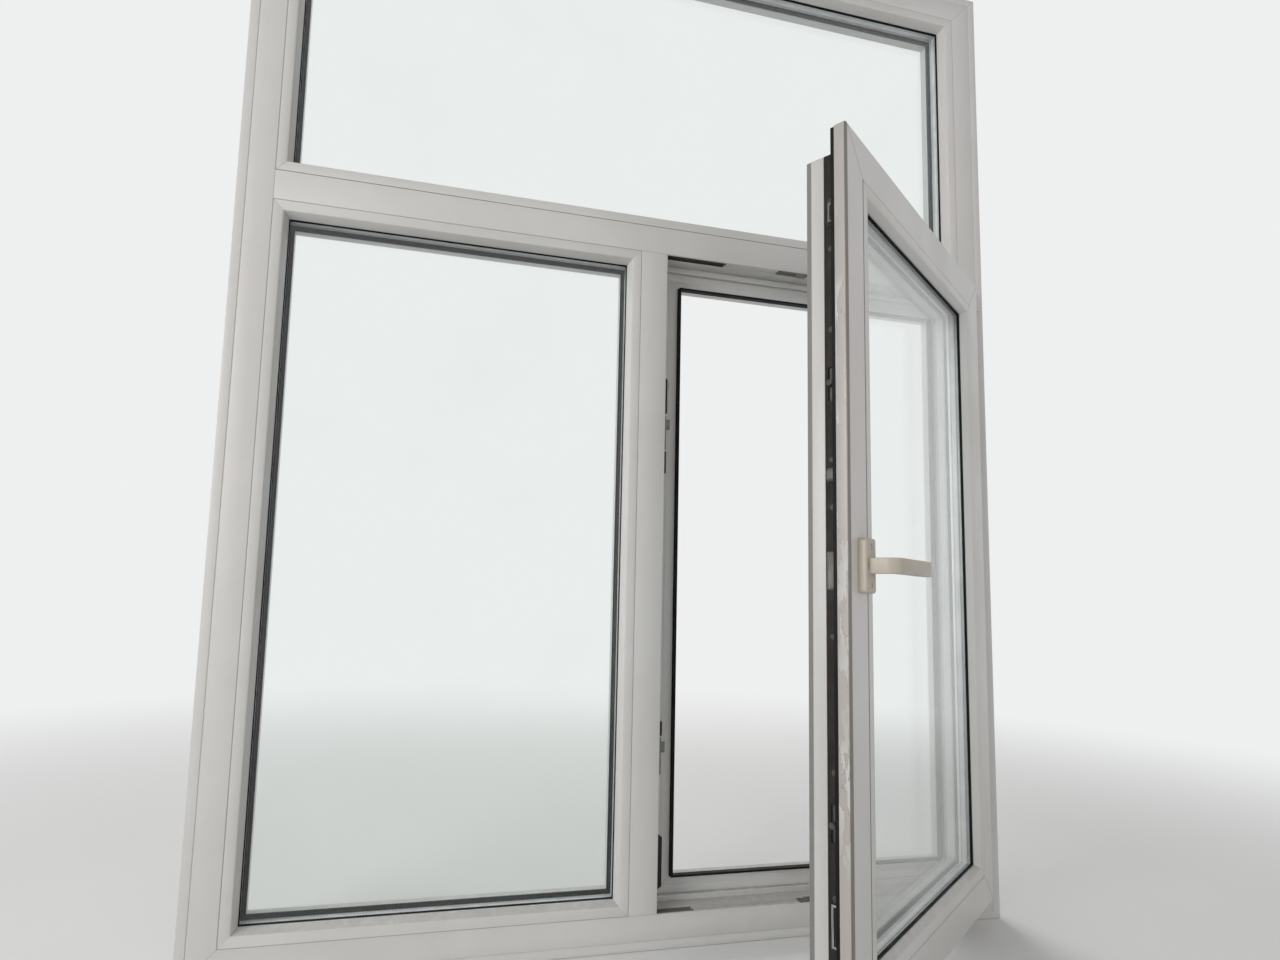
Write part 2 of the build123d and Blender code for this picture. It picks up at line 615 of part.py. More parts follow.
# gearbox case with the pinion and the square spindle
tip_r = pitch_r + rod_t / 2 - 0.5
root_r = tip_r - 2.6
case_y0 = axis_y - 7.5
case_y1 = axis_y + 7.5
with BuildPart() as gearbox:
    block(rod_x1 + 0.3, sx0 + gear_t1, case_y0, case_y1, handle_z - gear_half, handle_z + gear_half)
    rod(handle_x, axis_y - 5.4, handle_z, tip_r + 0.4, 10.8, "y", Mode.SUBTRACT)
    rod(handle_x, case_y0 - 1, handle_z, 6.35, 17.0, "y", Mode.SUBTRACT)
    for side in (-1, 1):
        rod(handle_x, case_y0 - 1, handle_z + side * 21.5, 2.05, 17.0, "y", Mode.SUBTRACT, small_sides)
        block(rod_x1, sx0 + gear_t1 - 2, axis_y - 5, axis_y + 5, handle_z + side * 46 - 12,
              handle_z + side * 46 + 12, Mode.SUBTRACT)
keep(gearbox, "gearbox", True)

with BuildPart() as pinion:
    rod(handle_x, axis_y - 7.0, handle_z, 6.0, 14.0, "y")
    seat = Plane(origin=(handle_x, axis_y - 3.0, handle_z), x_dir=(1, 0, 0), z_dir=(0, 1, 0))
    with BuildSketch(seat) as teeth:
        Circle(root_r)
        with PolarLocations(0, 16):
            with Locations((root_r + 1.0, 0)):
                Rectangle(3.2, 1.5)
    extrude(teeth.sketch, amount=6.0)
    block(handle_x - spindle_s / 2 - 0.05, handle_x + spindle_s / 2 + 0.05, axis_y - 9, axis_y + 9,
          handle_z - spindle_s / 2 - 0.05, handle_z + spindle_s / 2 + 0.05, Mode.SUBTRACT)
keep(pinion, "pinion", True)

grip_y0 = sash_y0 - lever_out
with BuildPart() as spindle:
    block(handle_x - spindle_s / 2, handle_x + spindle_s / 2, grip_y0 + 18.0, axis_y + 7.0,
          handle_z - spindle_s / 2, handle_z + spindle_s / 2)
keep(spindle, "spindle", True)

neck_r = 8.0
with BuildPart() as rosette:
    block(handle_x - rosette_w / 2, handle_x + rosette_w / 2, sash_y0 - rosette_t, sash_y0,
          handle_z - rosette_h / 2, handle_z + rosette_h / 2)
    fillet(rosette.edges().filter_by(Axis.Y), 4.0)
    chamfer(rosette.faces().sort_by(Axis.Y)[0].edges(), 1.4)
    block(handle_x - rosette_w / 2 + 2, handle_x + rosette_w / 2 - 2, sash_y0 - rosette_t + 5.0, sash_y0 + 1,
          handle_z - rosette_h / 2 + 2, handle_z - 15.0, Mode.SUBTRACT)
    block(handle_x - rosette_w / 2 + 2, handle_x + rosette_w / 2 - 2, sash_y0 - rosette_t + 5.0, sash_y0 + 1,
          handle_z + 15.0, handle_z + rosette_h / 2 - 2, Mode.SUBTRACT)
    rod(handle_x, sash_y0 - rosette_t - 1, handle_z, neck_r + 0.35, rosette_t + 2, "y", Mode.SUBTRACT)
    for side in (-1, 1):
        rod(handle_x, sash_y0 - rosette_t - 1, handle_z + side * 21.5, 3.6, 7.0, "y", Mode.SUBTRACT)
        rod(handle_x, sash_y0 - rosette_t + 2, handle_z + side * 21.5, 2.05, 6.0, "y", Mode.SUBTRACT, small_sides)
keep(rosette, "rosette", True)

with BuildPart() as rosette_screws:
    for side in (-1, 1):
        rod(handle_x, sash_y0 - rosette_t + 0.6, handle_z + side * 21.5, 3.5, 2.2, "y")
        stem = case_y1 - sash_y0 + rosette_t - 3.5
        rod(handle_x, sash_y0 - rosette_t + 2.7, handle_z + side * 21.5, 2.0, stem, "y", sides=small_sides)
keep(rosette_screws, "rosette_screws", True)

with BuildPart() as handle_lever:
    # grip seen from above, then its outline seen from the room
    with BuildSketch(Plane.XY.offset(handle_z - 9.5)) as plan:
        with BuildLine():
            Polyline((handle_x - 8, sash_y0 - rosette_t - 0.4), (handle_x - 8, grip_y0 + 4),
                     (handle_x - 4, grip_y0), (handle_x + lever_len - 14, grip_y0 + 1.5),
                     (handle_x + lever_len - 8, grip_y0 + 5), (handle_x + lever_len - 10, grip_y0 + 12),
                     (handle_x + 14, grip_y0 + 13), (handle_x + 8, grip_y0 + 18),
                     (handle_x + 8, sash_y0 - rosette_t - 0.4), close=True)
        make_face()
    extrude(amount=19.0)
    outline_y = Plane(origin=(0, grip_y0 - 1, 0), x_dir=(1, 0, 0), z_dir=(0, -1, 0))
    with BuildSketch(outline_y) as front:
        with BuildLine():
            Polyline((handle_x - 8, handle_z - 9.5), (handle_x + lever_len - 14, handle_z - 7.6),
                     (handle_x + lever_len - 8, handle_z - 4), (handle_x + lever_len - 8, handle_z + 4),
                     (handle_x + lever_len - 14, handle_z + 7.6), (handle_x - 8, handle_z + 9.5), close=True)
        make_face()
    extrude(front.sketch, amount=-50.0, mode=Mode.INTERSECT)
    rod(handle_x, sash_y0 - rosette_t - 0.5, handle_z, neck_r, rosette_t - 0.5, "y")
    block(handle_x - spindle_s / 2, handle_x + spindle_s / 2, grip_y0 + 18.0, sash_y0 + 5,
          handle_z - spindle_s / 2, handle_z + spindle_s / 2, Mode.SUBTRACT)
keep(handle_lever, "handle_lever", True)

with BuildPart() as lift_block:
    block(edge_x - 5.0, edge_x, axis_y - 5.0, axis_y + 5.0, 658.0, 674.0)
    chamfer(lift_block.edges().filter_by(Axis.Y).sort_by(Axis.X)[:2], 3.0)
keep(lift_block, "lift_block", True)

# keeps screwed to the rebate, one for each roller; the lip holds the roller when locked
keep_high = 8.0
lip_y0 = 0.0
lip_y1 = 2.2
base_y1 = bead_slot_y0 - 0.1
with BuildPart() as keeps:
    for z in cam_heights:
        mid = z + travel
        block(x_mul, x_mul + 2.0, lip_y0 + 0.3, base_y1, z - 24.0, mid + 14.0)
        block(x_mul, x_mul + keep_high, lip_y0 + 0.3, lip_y1, mid - 8.0, mid + 8.0)
        rod(x_mul - 1, 7.0, z - 16.0, 1.9, 4.0, "x", Mode.SUBTRACT, small_sides)
    mid = top_cam_x + travel
    block(top_cam_x - 24.0, mid + 14.0, lip_y0 + 0.3, base_y1, transom_z - 2.0, transom_z)
    block(mid - 8.0, mid + 8.0, lip_y0 + 0.3, lip_y1, transom_z - keep_high, transom_z)
    mid = bottom_cam_x - travel
    block(mid - 14.0, bottom_cam_x + 24.0, lip_y0 + 0.3, base_y1, z_sill, z_sill + 2.0)
    block(mid - 8.0, mid + 8.0, lip_y0 + 0.3, lip_y1, z_sill, z_sill + keep_high)
keep(keeps, "keeps")

# lower hinge: bearing on the jamb, cover, pivot block and the corner hinge on the sash
bearing_z0 = tilt_z + 14.0
bearing_z1 = bearing_z0 + 76.0
with BuildPart() as lower_bearing:
    rod(hinge_x, pin_y, bearing_z0, 5.0, bearing_z1 - bearing_z0, "z")
    rod(hinge_x, pin_y, tilt_z - 6.0, pin_r, 24.0, "z")
    block(hinge_x - 2.5, hinge_x + 5.0, pin_y, -1.0, bearing_z0 + 2, bearing_z1 - 2)
    block(hinge_x - 2.5, hinge_x + 24.0, -2.5, 0.0, bearing_z0 - 2, bearing_z1 + 2)
    for z in (bearing_z0 + 10, bearing_z1 - 10):
        rod(hinge_x + 16.0, -4.0, z, 2.1, 6.0, "y", Mode.SUBTRACT, small_sides)
keep(lower_bearing, "lower_bearing")

with BuildPart() as bearing_cover:
    rod(hinge_x, pin_y, bearing_z0 - 1.5, 6.4, bearing_z1 - bearing_z0 + 3.0, "z")
    rod(hinge_x, pin_y, bearing_z0 - 2.0, 5.1, bearing_z1 - bearing_z0 + 2.3, "z", Mode.SUBTRACT)
    block(hinge_x - 2.7, hinge_x + 8.0, pin_y, pin_y + 8, bearing_z0 - 3, bearing_z1 + 3, Mode.SUBTRACT)
keep(bearing_cover, "bearing_cover")

with BuildPart() as pivot_block:
    rod(hinge_x, pin_y, tilt_z - 6.0, 5.5, 18.0, "z")
    rod(sx1 - 12.0, pin_y, tilt_z, 2.0, hinge_x - sx1 + 8.0, "x")
    rod(hinge_x, pin_y, tilt_z - 8.0, pin_r + pin_play, 24.0, "z", Mode.SUBTRACT)
keep(pivot_block, "pivot_block", True)

with BuildPart() as corner_hinge:
    rod(sx1 - 19.0, pin_y, tilt_z, 4.5, 19.0, "x")
    block(sx1 - 16.0, sx1 - 8.0, pin_y + 3.0, flange_y1 + 1.0, tilt_z - 2.8, tilt_z + 2.8)
    block(sx1 - 46.0, sx1 - 8.0, flange_y1, flange_y1 + 1.8, tilt_z - 2.8, tilt_z + 60.0)
    rod(sx1 - 21.0, pin_y, tilt_z, 2.05, 24.0, "x", Mode.SUBTRACT)
    for z in (tilt_z + 18, tilt_z + 44):
        rod(sx1 - 34.0, flange_y1 - 1, z, 2.1, 5.0, "y", Mode.SUBTRACT, small_sides)
keep(corner_hinge, "corner_hinge", True)

# upper hinge: bearing with its pin, stay arm and the slider in the sash groove
arm_z0 = body_z1 + 1.2
arm_z1 = arm_z0 + 3.0
with BuildPart() as stay_bearing:
    for z0, z1 in ((arm_z0 - 14.0, arm_z0 - 0.3), (arm_z1 + 0.3, arm_z1 + 13.0)):
        rod(hinge_x, pin_y, z0, 5.0, z1 - z0, "z")
        block(hinge_x - 2.5, hinge_x + 5.0, pin_y, -1.0, z0, z1)
    rod(hinge_x, pin_y, arm_z0 - 14.0, pin_r, 30.0, "z")
    block(hinge_x - 2.5, hinge_x + 24.0, -2.5, 0.0, arm_z0 - 14.0, arm_z1 + 13.0)
    block(hinge_x - 8.0, hinge_x + 4.0, -3.0, -0.1, arm_z0 - 1.0, arm_z1 + 1.0, Mode.SUBTRACT)
keep(stay_bearing, "stay_bearing")

with BuildPart() as stay_arm:
    with BuildSketch(Plane.XY.offset(arm_z0)) as arm_plan:
        with Locations((hinge_x, pin_y)):
            Circle(6.0)
        with Locations((hinge_x - 2.0, pin_y + 5.0)):
            Rectangle(8.0, 10.0)
        with Locations((hinge_x - 12.0, -3.1)):
            Rectangle(28.0, 4.2)
        with Locations((hinge_x - 25.0, 3.4)):
            Rectangle(10.0, 17.2)
        with Locations(((stay_x - 7.0 + hinge_x - 20.0) / 2, axis_y)):
            Rectangle(hinge_x - 20.0 - stay_x + 7.0, 10.0)
        with Locations((hinge_x, pin_y)):
            Circle(pin_r + pin_play, mode=Mode.SUBTRACT)
        with Locations((stay_x, axis_y)):
            Circle(2.9, mode=Mode.SUBTRACT)
    extrude(amount=arm_z1 - arm_z0)
keep(stay_arm, "stay_arm", True)

with BuildPart() as stay_slider:
    block(stay_x - 9.0, stay_x + 9.0, axis_y - 5.4, axis_y + 5.4, rod_z1 - 4.2, rod_z1)
    rod(stay_x, axis_y, rod_z1 - 0.1, 2.5, arm_z0 - rod_z1 - 0.1, "z")
keep(stay_slider, "stay_slider", True)
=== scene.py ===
"""Finishes, fine pieces, floor, lamps and camera for a three light plastic window.

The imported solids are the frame. Everything here is in metres in their space:
X to the right seen from the room, Y towards the outside, Z up.
"""

import json
import math

import bmesh
import bpy
from mathutils import Matrix, Vector


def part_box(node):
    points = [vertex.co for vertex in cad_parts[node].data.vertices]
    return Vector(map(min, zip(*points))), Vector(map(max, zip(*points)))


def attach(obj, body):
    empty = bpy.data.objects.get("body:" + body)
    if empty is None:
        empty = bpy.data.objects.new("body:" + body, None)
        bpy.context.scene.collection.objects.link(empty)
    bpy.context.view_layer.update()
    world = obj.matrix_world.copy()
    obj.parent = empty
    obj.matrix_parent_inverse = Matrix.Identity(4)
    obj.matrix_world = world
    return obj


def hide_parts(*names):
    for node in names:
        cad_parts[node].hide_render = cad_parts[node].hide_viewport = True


bl_info = {
    "name": "Three Light Window",
    "version": (1, 0, 0),
    "blender": (4, 5, 0),
    "location": "View3D > Sidebar > Window",
    "description": "Dresses the solids of a three light window with its finishes and fine pieces",
    "category": "Add Mesh",
}

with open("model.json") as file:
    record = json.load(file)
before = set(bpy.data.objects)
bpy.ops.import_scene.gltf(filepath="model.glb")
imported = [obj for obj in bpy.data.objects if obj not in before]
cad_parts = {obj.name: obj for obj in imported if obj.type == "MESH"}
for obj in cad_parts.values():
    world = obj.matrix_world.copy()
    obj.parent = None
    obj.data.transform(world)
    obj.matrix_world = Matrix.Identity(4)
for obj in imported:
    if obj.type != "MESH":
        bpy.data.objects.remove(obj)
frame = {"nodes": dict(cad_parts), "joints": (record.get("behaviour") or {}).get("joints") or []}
nodes = frame["nodes"]
joints = {joint["name"]: joint for joint in frame["joints"]}
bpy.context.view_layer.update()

# the sash hangs open at rest: this turn carries a piece from its closed place to there
hinge = Vector(joints["sash_turn"]["pos_m"])
opened = -math.radians(joints["sash_turn"]["range_deg"][0])
swing = Matrix.Translation(hinge) @ Matrix.Rotation(opened, 4, "Z") @ Matrix.Translation(-hinge)
shut = swing.inverted()
mm = 0.001

LIGHTS = ("upper", "left", "sash")
WAYS = ("upright", "level")

# fixed tones of the handled lock edge and of the backdrop
SKIN_FILM = (0.375, 0.34, 0.315)
GREY_LIP = (0.13, 0.125, 0.11)
CORNER_LINE = (0.075, 0.06, 0.045)
SKY_TONE = (0.86, 0.865, 0.87)

# angles above which an edge is rounded, and below which faces are shaded as one
SHARP_EDGE = math.radians(25.0)
SMOOTH_BELOW = math.radians(35.0)
ON_FACE = 0.01 * mm

# strikers on the mullion: name, lower end, upper end and thickness in mm
# near black, these plates are partly real strikers and partly painted shade along the room edge of
# the mullion
STRIKERS = (
    ("striker_upper", 806, 866, 3.6),
    ("striker_middle", 711, 748, 3.0),
    ("striker_lower", 307, 330, 3.6),
    ("striker_corner", 85, 163, 6.5),
)
HOOK_LEVEL = 854 * mm

# rings round the slots of the lock plate: name, level, height, width in mm and steel
SLOT_RINGS = (
    # the latch steel of the upper ring is zinc darkened as painted shade
    ("upper_slot_ring", 986, 24, 7.0, "latch"),
    ("lower_slot_ring", 167, 46, 9.0, "bright"),
)


def number(name, description, default, **limits):
    """A plain number for the panel."""
    return bpy.props.FloatProperty(name=name, description=description, default=default, **limits)


def length(name, description, default):
    """A length for the panel, its default in millimetres."""
    return number(name, description, default * mm, min=0.0, unit="LENGTH")


def power(name, description, default):
    """The power of a lamp for the panel, in watts."""
    return number(name, description, default, min=0.0, unit="POWER")


def tone(name, description, default):
    """A colour for the panel."""
    return bpy.props.FloatVectorProperty(name=name, description=description, subtype="COLOR",
                                         default=default, min=0.0, max=1.0)


class WindowSizes(bpy.types.PropertyGroup):
    """Small sizes that the solids leave to the finish."""

    profile_edge: length("Profile edge", "Rounding on the long edges of the white profiles", 0.7)
    bead_edge: length("Bead edge", "Rounding on the long edges of the glazing beads", 0.45)
    metal_edge: length("Metal edge", "Rounding on the edges of plates and keeps", 0.3)
    seam_width: length("Seam width", "Half the width of the cleaned groove at a welded corner", 0.9)
    seam_reach: length("Seam reach", "How far the corner seam runs in from the outer edge", 75)
    joint_width: length("Joint width", "Dark line between a glazing bead and its profile", 1.0)
    recess_width: length("Recess width", "Width of one arm of the cross in a screw head", 0.9)
    gasket_trim: length(
        "Gasket trim", "How much narrower the seen rubber of the stop gasket is", 2.8)
    leg_lip: length(
        "Leg lip", "How much the leg round the opening is raised above the solids", 14.5)
    lip_step: length("Lip step", "Small step on the leg where its lip begins", 0.25)
    step_height: length("Step height", "Height of the step along the foot of that leg", 9.0)
    step_depth: length("Step depth", "How far that step stands out towards the room", 8.0)
    hole_pitch: length("Hole pitch", "Distance between the holes in a spacer bar", 4.0)


class WindowColours(bpy.types.PropertyGroup):
    """Colours of the finishes."""

    plastic: tone("Plastic", "White of the extruded profiles", (0.62, 0.612, 0.598))
    aged: tone("Aged plastic", "Where the white has turned warmer", (0.575, 0.56, 0.53))
    dirt: tone("Dirt", "Dust and grime in corners and on ledges", (0.20, 0.165, 0.135))
    rubber: tone("Rubber", "Gaskets", (0.008, 0.008, 0.009))
    shadow: tone(
        "Overlap gasket", "Dark gasket behind the flange of the sash", (0.006, 0.006, 0.006))
    # painted shade: the recess tone is near black to stand for the shade inside the open groove,
    # with a little old dirt
    recess: tone("Recess", "Painted shade and a little old dirt inside the open groove", (0.065, 0.055, 0.048))
    # the sill recess tone paints the cut faces and the bed of the open sill groove a darker grey
    sill_recess: tone("Sill recess", "Darker grey inside the open groove of the sill", (0.20, 0.19, 0.175))
    # painted shade: the latch tone is plated zinc darkened to stand for the shade on the keeps and
    # the cast pieces
    latch: tone("Latch", "Cast pieces on the face plate, and the keeps, darkened as painted shade", (0.17, 0.165, 0.15))
    spacer: tone("Spacer", "Spacer bar between the panes", (0.82, 0.83, 0.84))
    glass: tone("Glass", "Float glass", (0.975, 0.993, 0.985))
    zinc: tone("Zinc", "Plated steel", (0.34, 0.335, 0.325))
    # painted shade: the face plates are silver steel, and this near black tone stands for the shade
    # on them
    plate: tone("Face plate", "Face plates of the lock, near black as painted shade", (0.030, 0.024, 0.021))
    # painted shade: the screws and rods are plated steel, made near black to stand for the shade on
    # them
    screw: tone("Screws", "Heads of the screws and the rods, near black as painted shade", (0.075, 0.070, 0.063))
    # partly painted shade: a pale handle given a darker beige that stands for the shade on it
    handle: tone("Handle", "Tone of the handle, partly painted shade", (0.448, 0.403, 0.328))
    packer: tone("Packer", "Glazing packers", (0.05, 0.10, 0.24))


class WindowStage(bpy.types.PropertyGroup):
    """Floor, lamps and camera."""

    floor: tone("Floor", "Pale floor", (0.84, 0.84, 0.83))
    key_power: power("Key lamp", "Power of the large soft lamp", 60.0)
    fill_power: power("Fill lamp", "Power of the lamp on the other side", 16.0)
    back_power: power("Back lamp", "Power of the lamp outside the window", 60.0)
    sky: number("Sky", "Strength of the even light from all round", 0.34, min=0.0)
    eye: bpy.props.FloatVectorProperty(
        name="Eye", description="Where the camera stands", subtype="TRANSLATION",
        default=(-0.3289, -1.0035, 0.5246))
    turn: number("Turn", "Camera turned to the left", math.radians(-12.693), subtype="ANGLE")
    pitch: number("Pitch", "Camera tipped up", math.radians(5.504), subtype="ANGLE")
    roll: number("Roll", "Camera rolled", math.radians(-1.592), subtype="ANGLE")
    lens: number("Lens", "Focal length in millimetres", 19.094, min=1.0)
    shift_x: number("Shift X", "Sideways shift", 0.0426)
    shift_y: number("Shift Y", "Upward shift", 0.0352)


def span(points):
    """Lowest and highest corner of some points."""
    columns = list(zip(*points))
    return Vector(min(column) for column in columns), Vector(max(column) for column in columns)


def closed_points(node):
    """Points of a sash node as they are with the sash closed."""
    return [shut @ vertex.co for vertex in nodes[node].data.vertices]


def closed_box(node):
    """Lowest and highest corner of a sash node with the sash closed."""
    return span(closed_points(node))


def closed_groups(node, axis, gap):
    """Middles along one axis of the separate solids in a sash node, the sash closed."""
    places = sorted(point[axis] for point in closed_points(node))
    groups = [[places[0]]]
    for place in places[1:]:
        if place - groups[-1][-1] > gap:
            groups.append([])
        groups[-1].append(place)
    return [(group[0] + group[-1]) / 2 for group in groups]


def outline(low, high):
    """Sides of an upright rectangle, as the shader groups name them."""
    return {"left": low.x, "right": high.x, "low": low.z, "high": high.z}


def bead_outline(light):
    """Outline of the room side of a light's beads, the sash closed."""
    back = shut if light == "sash" else Matrix()
    points = [back @ vertex.co for way in WAYS
              for vertex in nodes[f"{light}_beads_{way}"].data.vertices]
    front = min(point.y for point in points) + 1 * mm
    return outline(*span(point for point in points if point.y < front))


# working on one piece at a time
def alone(piece):
    """Select one object and nothing else."""
    bpy.ops.object.select_all(action="DESELECT")
    piece.select_set(True)
    bpy.context.view_layer.objects.active = piece


def settle(piece, turn=None):
    """Put the place of a new piece into its mesh, turned with the open sash if asked."""
    alone(piece)
    if turn is not None:
        piece.matrix_world = turn @ piece.matrix_world
    bpy.ops.object.transform_apply(location=True, rotation=True, scale=True)


def linked(name, mesh):
    """A new object with a copy of a mesh, in the scene."""
    piece = bpy.data.objects.new(name, mesh.copy())
    bpy.context.scene.collection.objects.link(piece)
    return piece


def block(place, size, **settings):
    """A box with its place in its mesh."""
    bpy.ops.mesh.primitive_cube_add(size=1.0, location=place, scale=size, **settings)
    piece = bpy.context.object
    settle(piece)
    return piece


def rod(place, radius, depth, sides):
    """A cylinder along X, whose place isn't in its mesh yet."""
    bpy.ops.mesh.primitive_cylinder_add(vertices=sides, radius=radius, depth=depth,
                                        location=place, rotation=(0, math.pi / 2, 0))
    return bpy.context.object


def cut_away(piece, cutter, **settings):
    """Take the shape of one settled object out of another."""
    alone(piece)
    modifier = piece.modifiers.new("Cut", "BOOLEAN")
    choices = {"object": cutter, "operation": "DIFFERENCE", "solver": "EXACT", **settings}
    for key, value in choices.items():
        setattr(modifier, key, value)
    bpy.ops.object.modifier_apply(modifier=modifier.name)
    bpy.data.objects.remove(cutter)


def dress(piece, body, slot, material, *stands_for):
    """Give a finished piece its material and its body; its slot is not used."""
    piece.data.materials.clear()
    piece.data.materials.append(material)
    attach(piece, body)
    if stands_for:
        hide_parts(*stands_for)


def paint(node, material):
    """Give a solid that stays as it is a better material."""
    for slot in nodes[node].material_slots:
        slot.material = material


def pick_edges(piece, wanted):
    """In edit mode, select the edges between two faces that pass a test."""
    bpy.ops.mesh.select_mode(type="EDGE")
    bpy.ops.mesh.select_all(action="DESELECT")
    mesh = bmesh.from_edit_mesh(piece.data)
    for edge in mesh.edges:
        if len(edge.link_faces) == 2 and wanted(edge):
            edge.select = True
    bmesh.update_edit_mesh(piece.data)


def pick_faces(piece, way):
    """In edit mode, select the faces that look along a direction."""
    bpy.ops.mesh.select_mode(type="FACE")
    bpy.ops.mesh.select_all(action="DESELECT")
    mesh = bmesh.from_edit_mesh(piece.data)
    for face in mesh.faces:
        face.select = face.normal.dot(Vector(way)) > 0.9
    bmesh.update_edit_mesh(piece.data)


def pull(value):
    """In edit mode, extrude what is selected."""
    bpy.ops.mesh.extrude_region_move(TRANSFORM_OT_translate={"value": value})


def round_edges(piece, width, shortest):
    """Round the long outer edges of one piece."""
    alone(piece)
    bpy.ops.object.mode_set(mode="EDIT")
    pick_edges(piece, lambda edge: edge.is_convex and edge.calc_length() > shortest
               and edge.calc_face_angle() > SHARP_EDGE)
    bpy.ops.mesh.bevel(offset=width, segments=2, affect="EDGES", clamp_overlap=False)
    bpy.ops.object.mode_set(mode="OBJECT")
    bpy.ops.object.shade_smooth_by_angle(angle=SMOOTH_BELOW)


def raised_plate(name, place, size, side, turn=None):
    """A flat plate that looks along X in the given sense, with sloping ends and a sunk middle."""
    taper = (1.0, 0.86, 0.90)
    rim = 1.1 * mm
    sunk = 0.35 * mm
    piece = block(place, size)
    bpy.ops.object.mode_set(mode="EDIT")
    pick_faces(piece, (side, 0, 0))
    bpy.ops.transform.resize(value=taper, center_override=place)
    bpy.ops.mesh.inset(thickness=rim, depth=0.0)
    pull((-sunk * side, 0, 0))
    bpy.ops.mesh.select_all(action="SELECT")
    bpy.ops.mesh.bevel(offset=0.15 * mm, segments=2, affect="EDGES")
    bpy.ops.object.mode_set(mode="OBJECT")
    bpy.ops.object.shade_smooth_by_angle(angle=SMOOTH_BELOW)
    settle(piece, turn)
    piece.name = name
    return piece


def soft_edges(node, name, body, slot, material, width, shortest):
    """A copy of a solid with its long outer edges rounded, which stands for it."""
    piece = linked(name, nodes[node].data)
    alone(piece)
    bpy.ops.mesh.customdata_custom_splitnormals_clear()
    bpy.ops.object.mode_set(mode="EDIT")
    bpy.ops.mesh.select_mode(type="EDGE")
    bpy.ops.mesh.select_all(action="SELECT")
    bpy.ops.mesh.remove_doubles(threshold=ON_FACE)
    bpy.ops.mesh.dissolve_limited(angle_limit=math.radians(1.0))
    bpy.ops.object.mode_set(mode="OBJECT")
    round_edges(piece, width, shortest)
    dress(piece, body, slot, material, node)
    return piece


# shader nodes in short
def add(tree, kind, **settings):
    """One shader node with its settings."""
    node = tree.nodes.new(kind)
    for key, value in settings.items():
        setattr(node, key, value)
    return node


def feed(value, socket):
    """Link a shader value to a socket, or write a plain value on it."""
    if isinstance(value, Value):
        value.tree.links.new(value.socket, socket)
    elif socket.type == "RGBA":
        socket.default_value = (*value, 1.0)
    else:
        socket.default_value = value


def fill(node, **values):
    """Feed the inputs of a shader node, with an underscore for each space in a name."""
    for key, value in values.items():
        feed(value, node.inputs[key.replace("_", " ")])


class Value:
    """The output of a shader node, so that Math nodes can be written as sums."""

    def __init__(self, tree, socket):
        self.tree = tree
        self.socket = socket

    def calc(self, operation, *others):
        """The result of a Math node on this value and others."""
        node = add(self.tree, "ShaderNodeMath", operation=operation)
        for place, part in enumerate((self, *others)):
            feed(part, node.inputs[place])
        return Value(self.tree, node.outputs[0])

    def __add__(self, other):
        return self.calc("ADD", other)

    def __sub__(self, other):
        return self.calc("SUBTRACT", other)

    def __mul__(self, other):
        return self.calc("MULTIPLY", other)

    def __truediv__(self, other):
        return self.calc("DIVIDE", other)

    def __abs__(self):
        return self.calc("ABSOLUTE")


def ramp(value, low, high):
    """A smooth step from nought at one value to one at another."""
    node = add(value.tree, "ShaderNodeMapRange", interpolation_type="SMOOTHSTEP")
    for place, part in enumerate((value, low, high)):
        feed(part, node.inputs[place])
    return Value(value.tree, node.outputs[0])


def noise(vector, scale, detail=3.0, rough=0.5):
    """A noise value on a vector."""
    node = add(vector.tree, "ShaderNodeTexNoise")
    fill(node, Vector=vector, Scale=scale, Detail=detail, Roughness=rough)
    return Value(vector.tree, node.outputs["Fac"])


def mix(share, first, second):
    """A mix of two colours."""
    node = add(share.tree, "ShaderNodeMix", data_type="RGBA")
    for place, part in ((0, share), (6, first), (7, second)):
        feed(part, node.inputs[place])
    return Value(share.tree, node.outputs[2])


def parts(vector):
    """The three parts of a vector."""
    node = add(vector.tree, "ShaderNodeSeparateXYZ")
    feed(vector, node.inputs[0])
    return [Value(vector.tree, socket) for socket in node.outputs]


def upward_part(tree):
    """How much a face looks up, from the normal."""
    return parts(Value(tree, add(tree, "ShaderNodeNewGeometry").outputs["Normal"]))[2]


def stretched(vector, share):
    """A vector drawn out along Z."""
    node = add(vector.tree, "ShaderNodeMapping")
    fill(node, Vector=vector, Scale=(1.0, 1.0, share))
    return Value(vector.tree, node.outputs[0])


def scaled(colour, share):
    """A darker or lighter colour."""
    return [min(1.0, part * share) for part in colour]


def new_group(name, inputs, outputs):
    """An empty node group with a vector, float inputs and float outputs."""
    tree = bpy.data.node_groups.new(name, "ShaderNodeTree")
    sockets = [("Vector", "INPUT", "NodeSocketVector")]
    sockets += [(label, "INPUT", "NodeSocketFloat") for label in inputs.split()]
    sockets += [(label, "OUTPUT", "NodeSocketFloat") for label in outputs.split()]
    for label, way, kind in sockets:
        tree.interface.new_socket(label, in_out=way, socket_type=kind)
    source = {socket.name: Value(tree, socket) for socket in add(tree, "NodeGroupInput").outputs}
    return tree, source, add(tree, "NodeGroupOutput").inputs


def seam_group():
    """A thin line on the diagonal of each corner of an upright rectangle."""
    tree, at, sink = new_group("Corner seam", "Left Right Low High Reach Width", "Mask")
    x, _, z = parts(at["Vector"])
    across = (x - at["Left"]).calc("MINIMUM", at["Right"] - x)
    along = (z - at["Low"]).calc("MINIMUM", at["High"] - z)
    line = ramp(abs(across - along), at["Width"], 0.0)
    feed(line * across.calc("LESS_THAN", at["Reach"]), sink["Mask"])
    return tree


def joint_group():
    """The dark joint between a set of glazing beads and the profile round it."""
    tree, at, sink = new_group("Bead joint", "Left Right Low High Width", "Mask")
    x, _, z = parts(at["Vector"])
    beside = abs(x - at["Left"]).calc("MINIMUM", abs(x - at["Right"]))
    above = abs(z - at["Low"]).calc("MINIMUM", abs(z - at["High"]))
    feed(ramp(beside.calc("MINIMUM", above), at["Width"], at["Width"] * 0.6), sink["Mask"])
    return tree


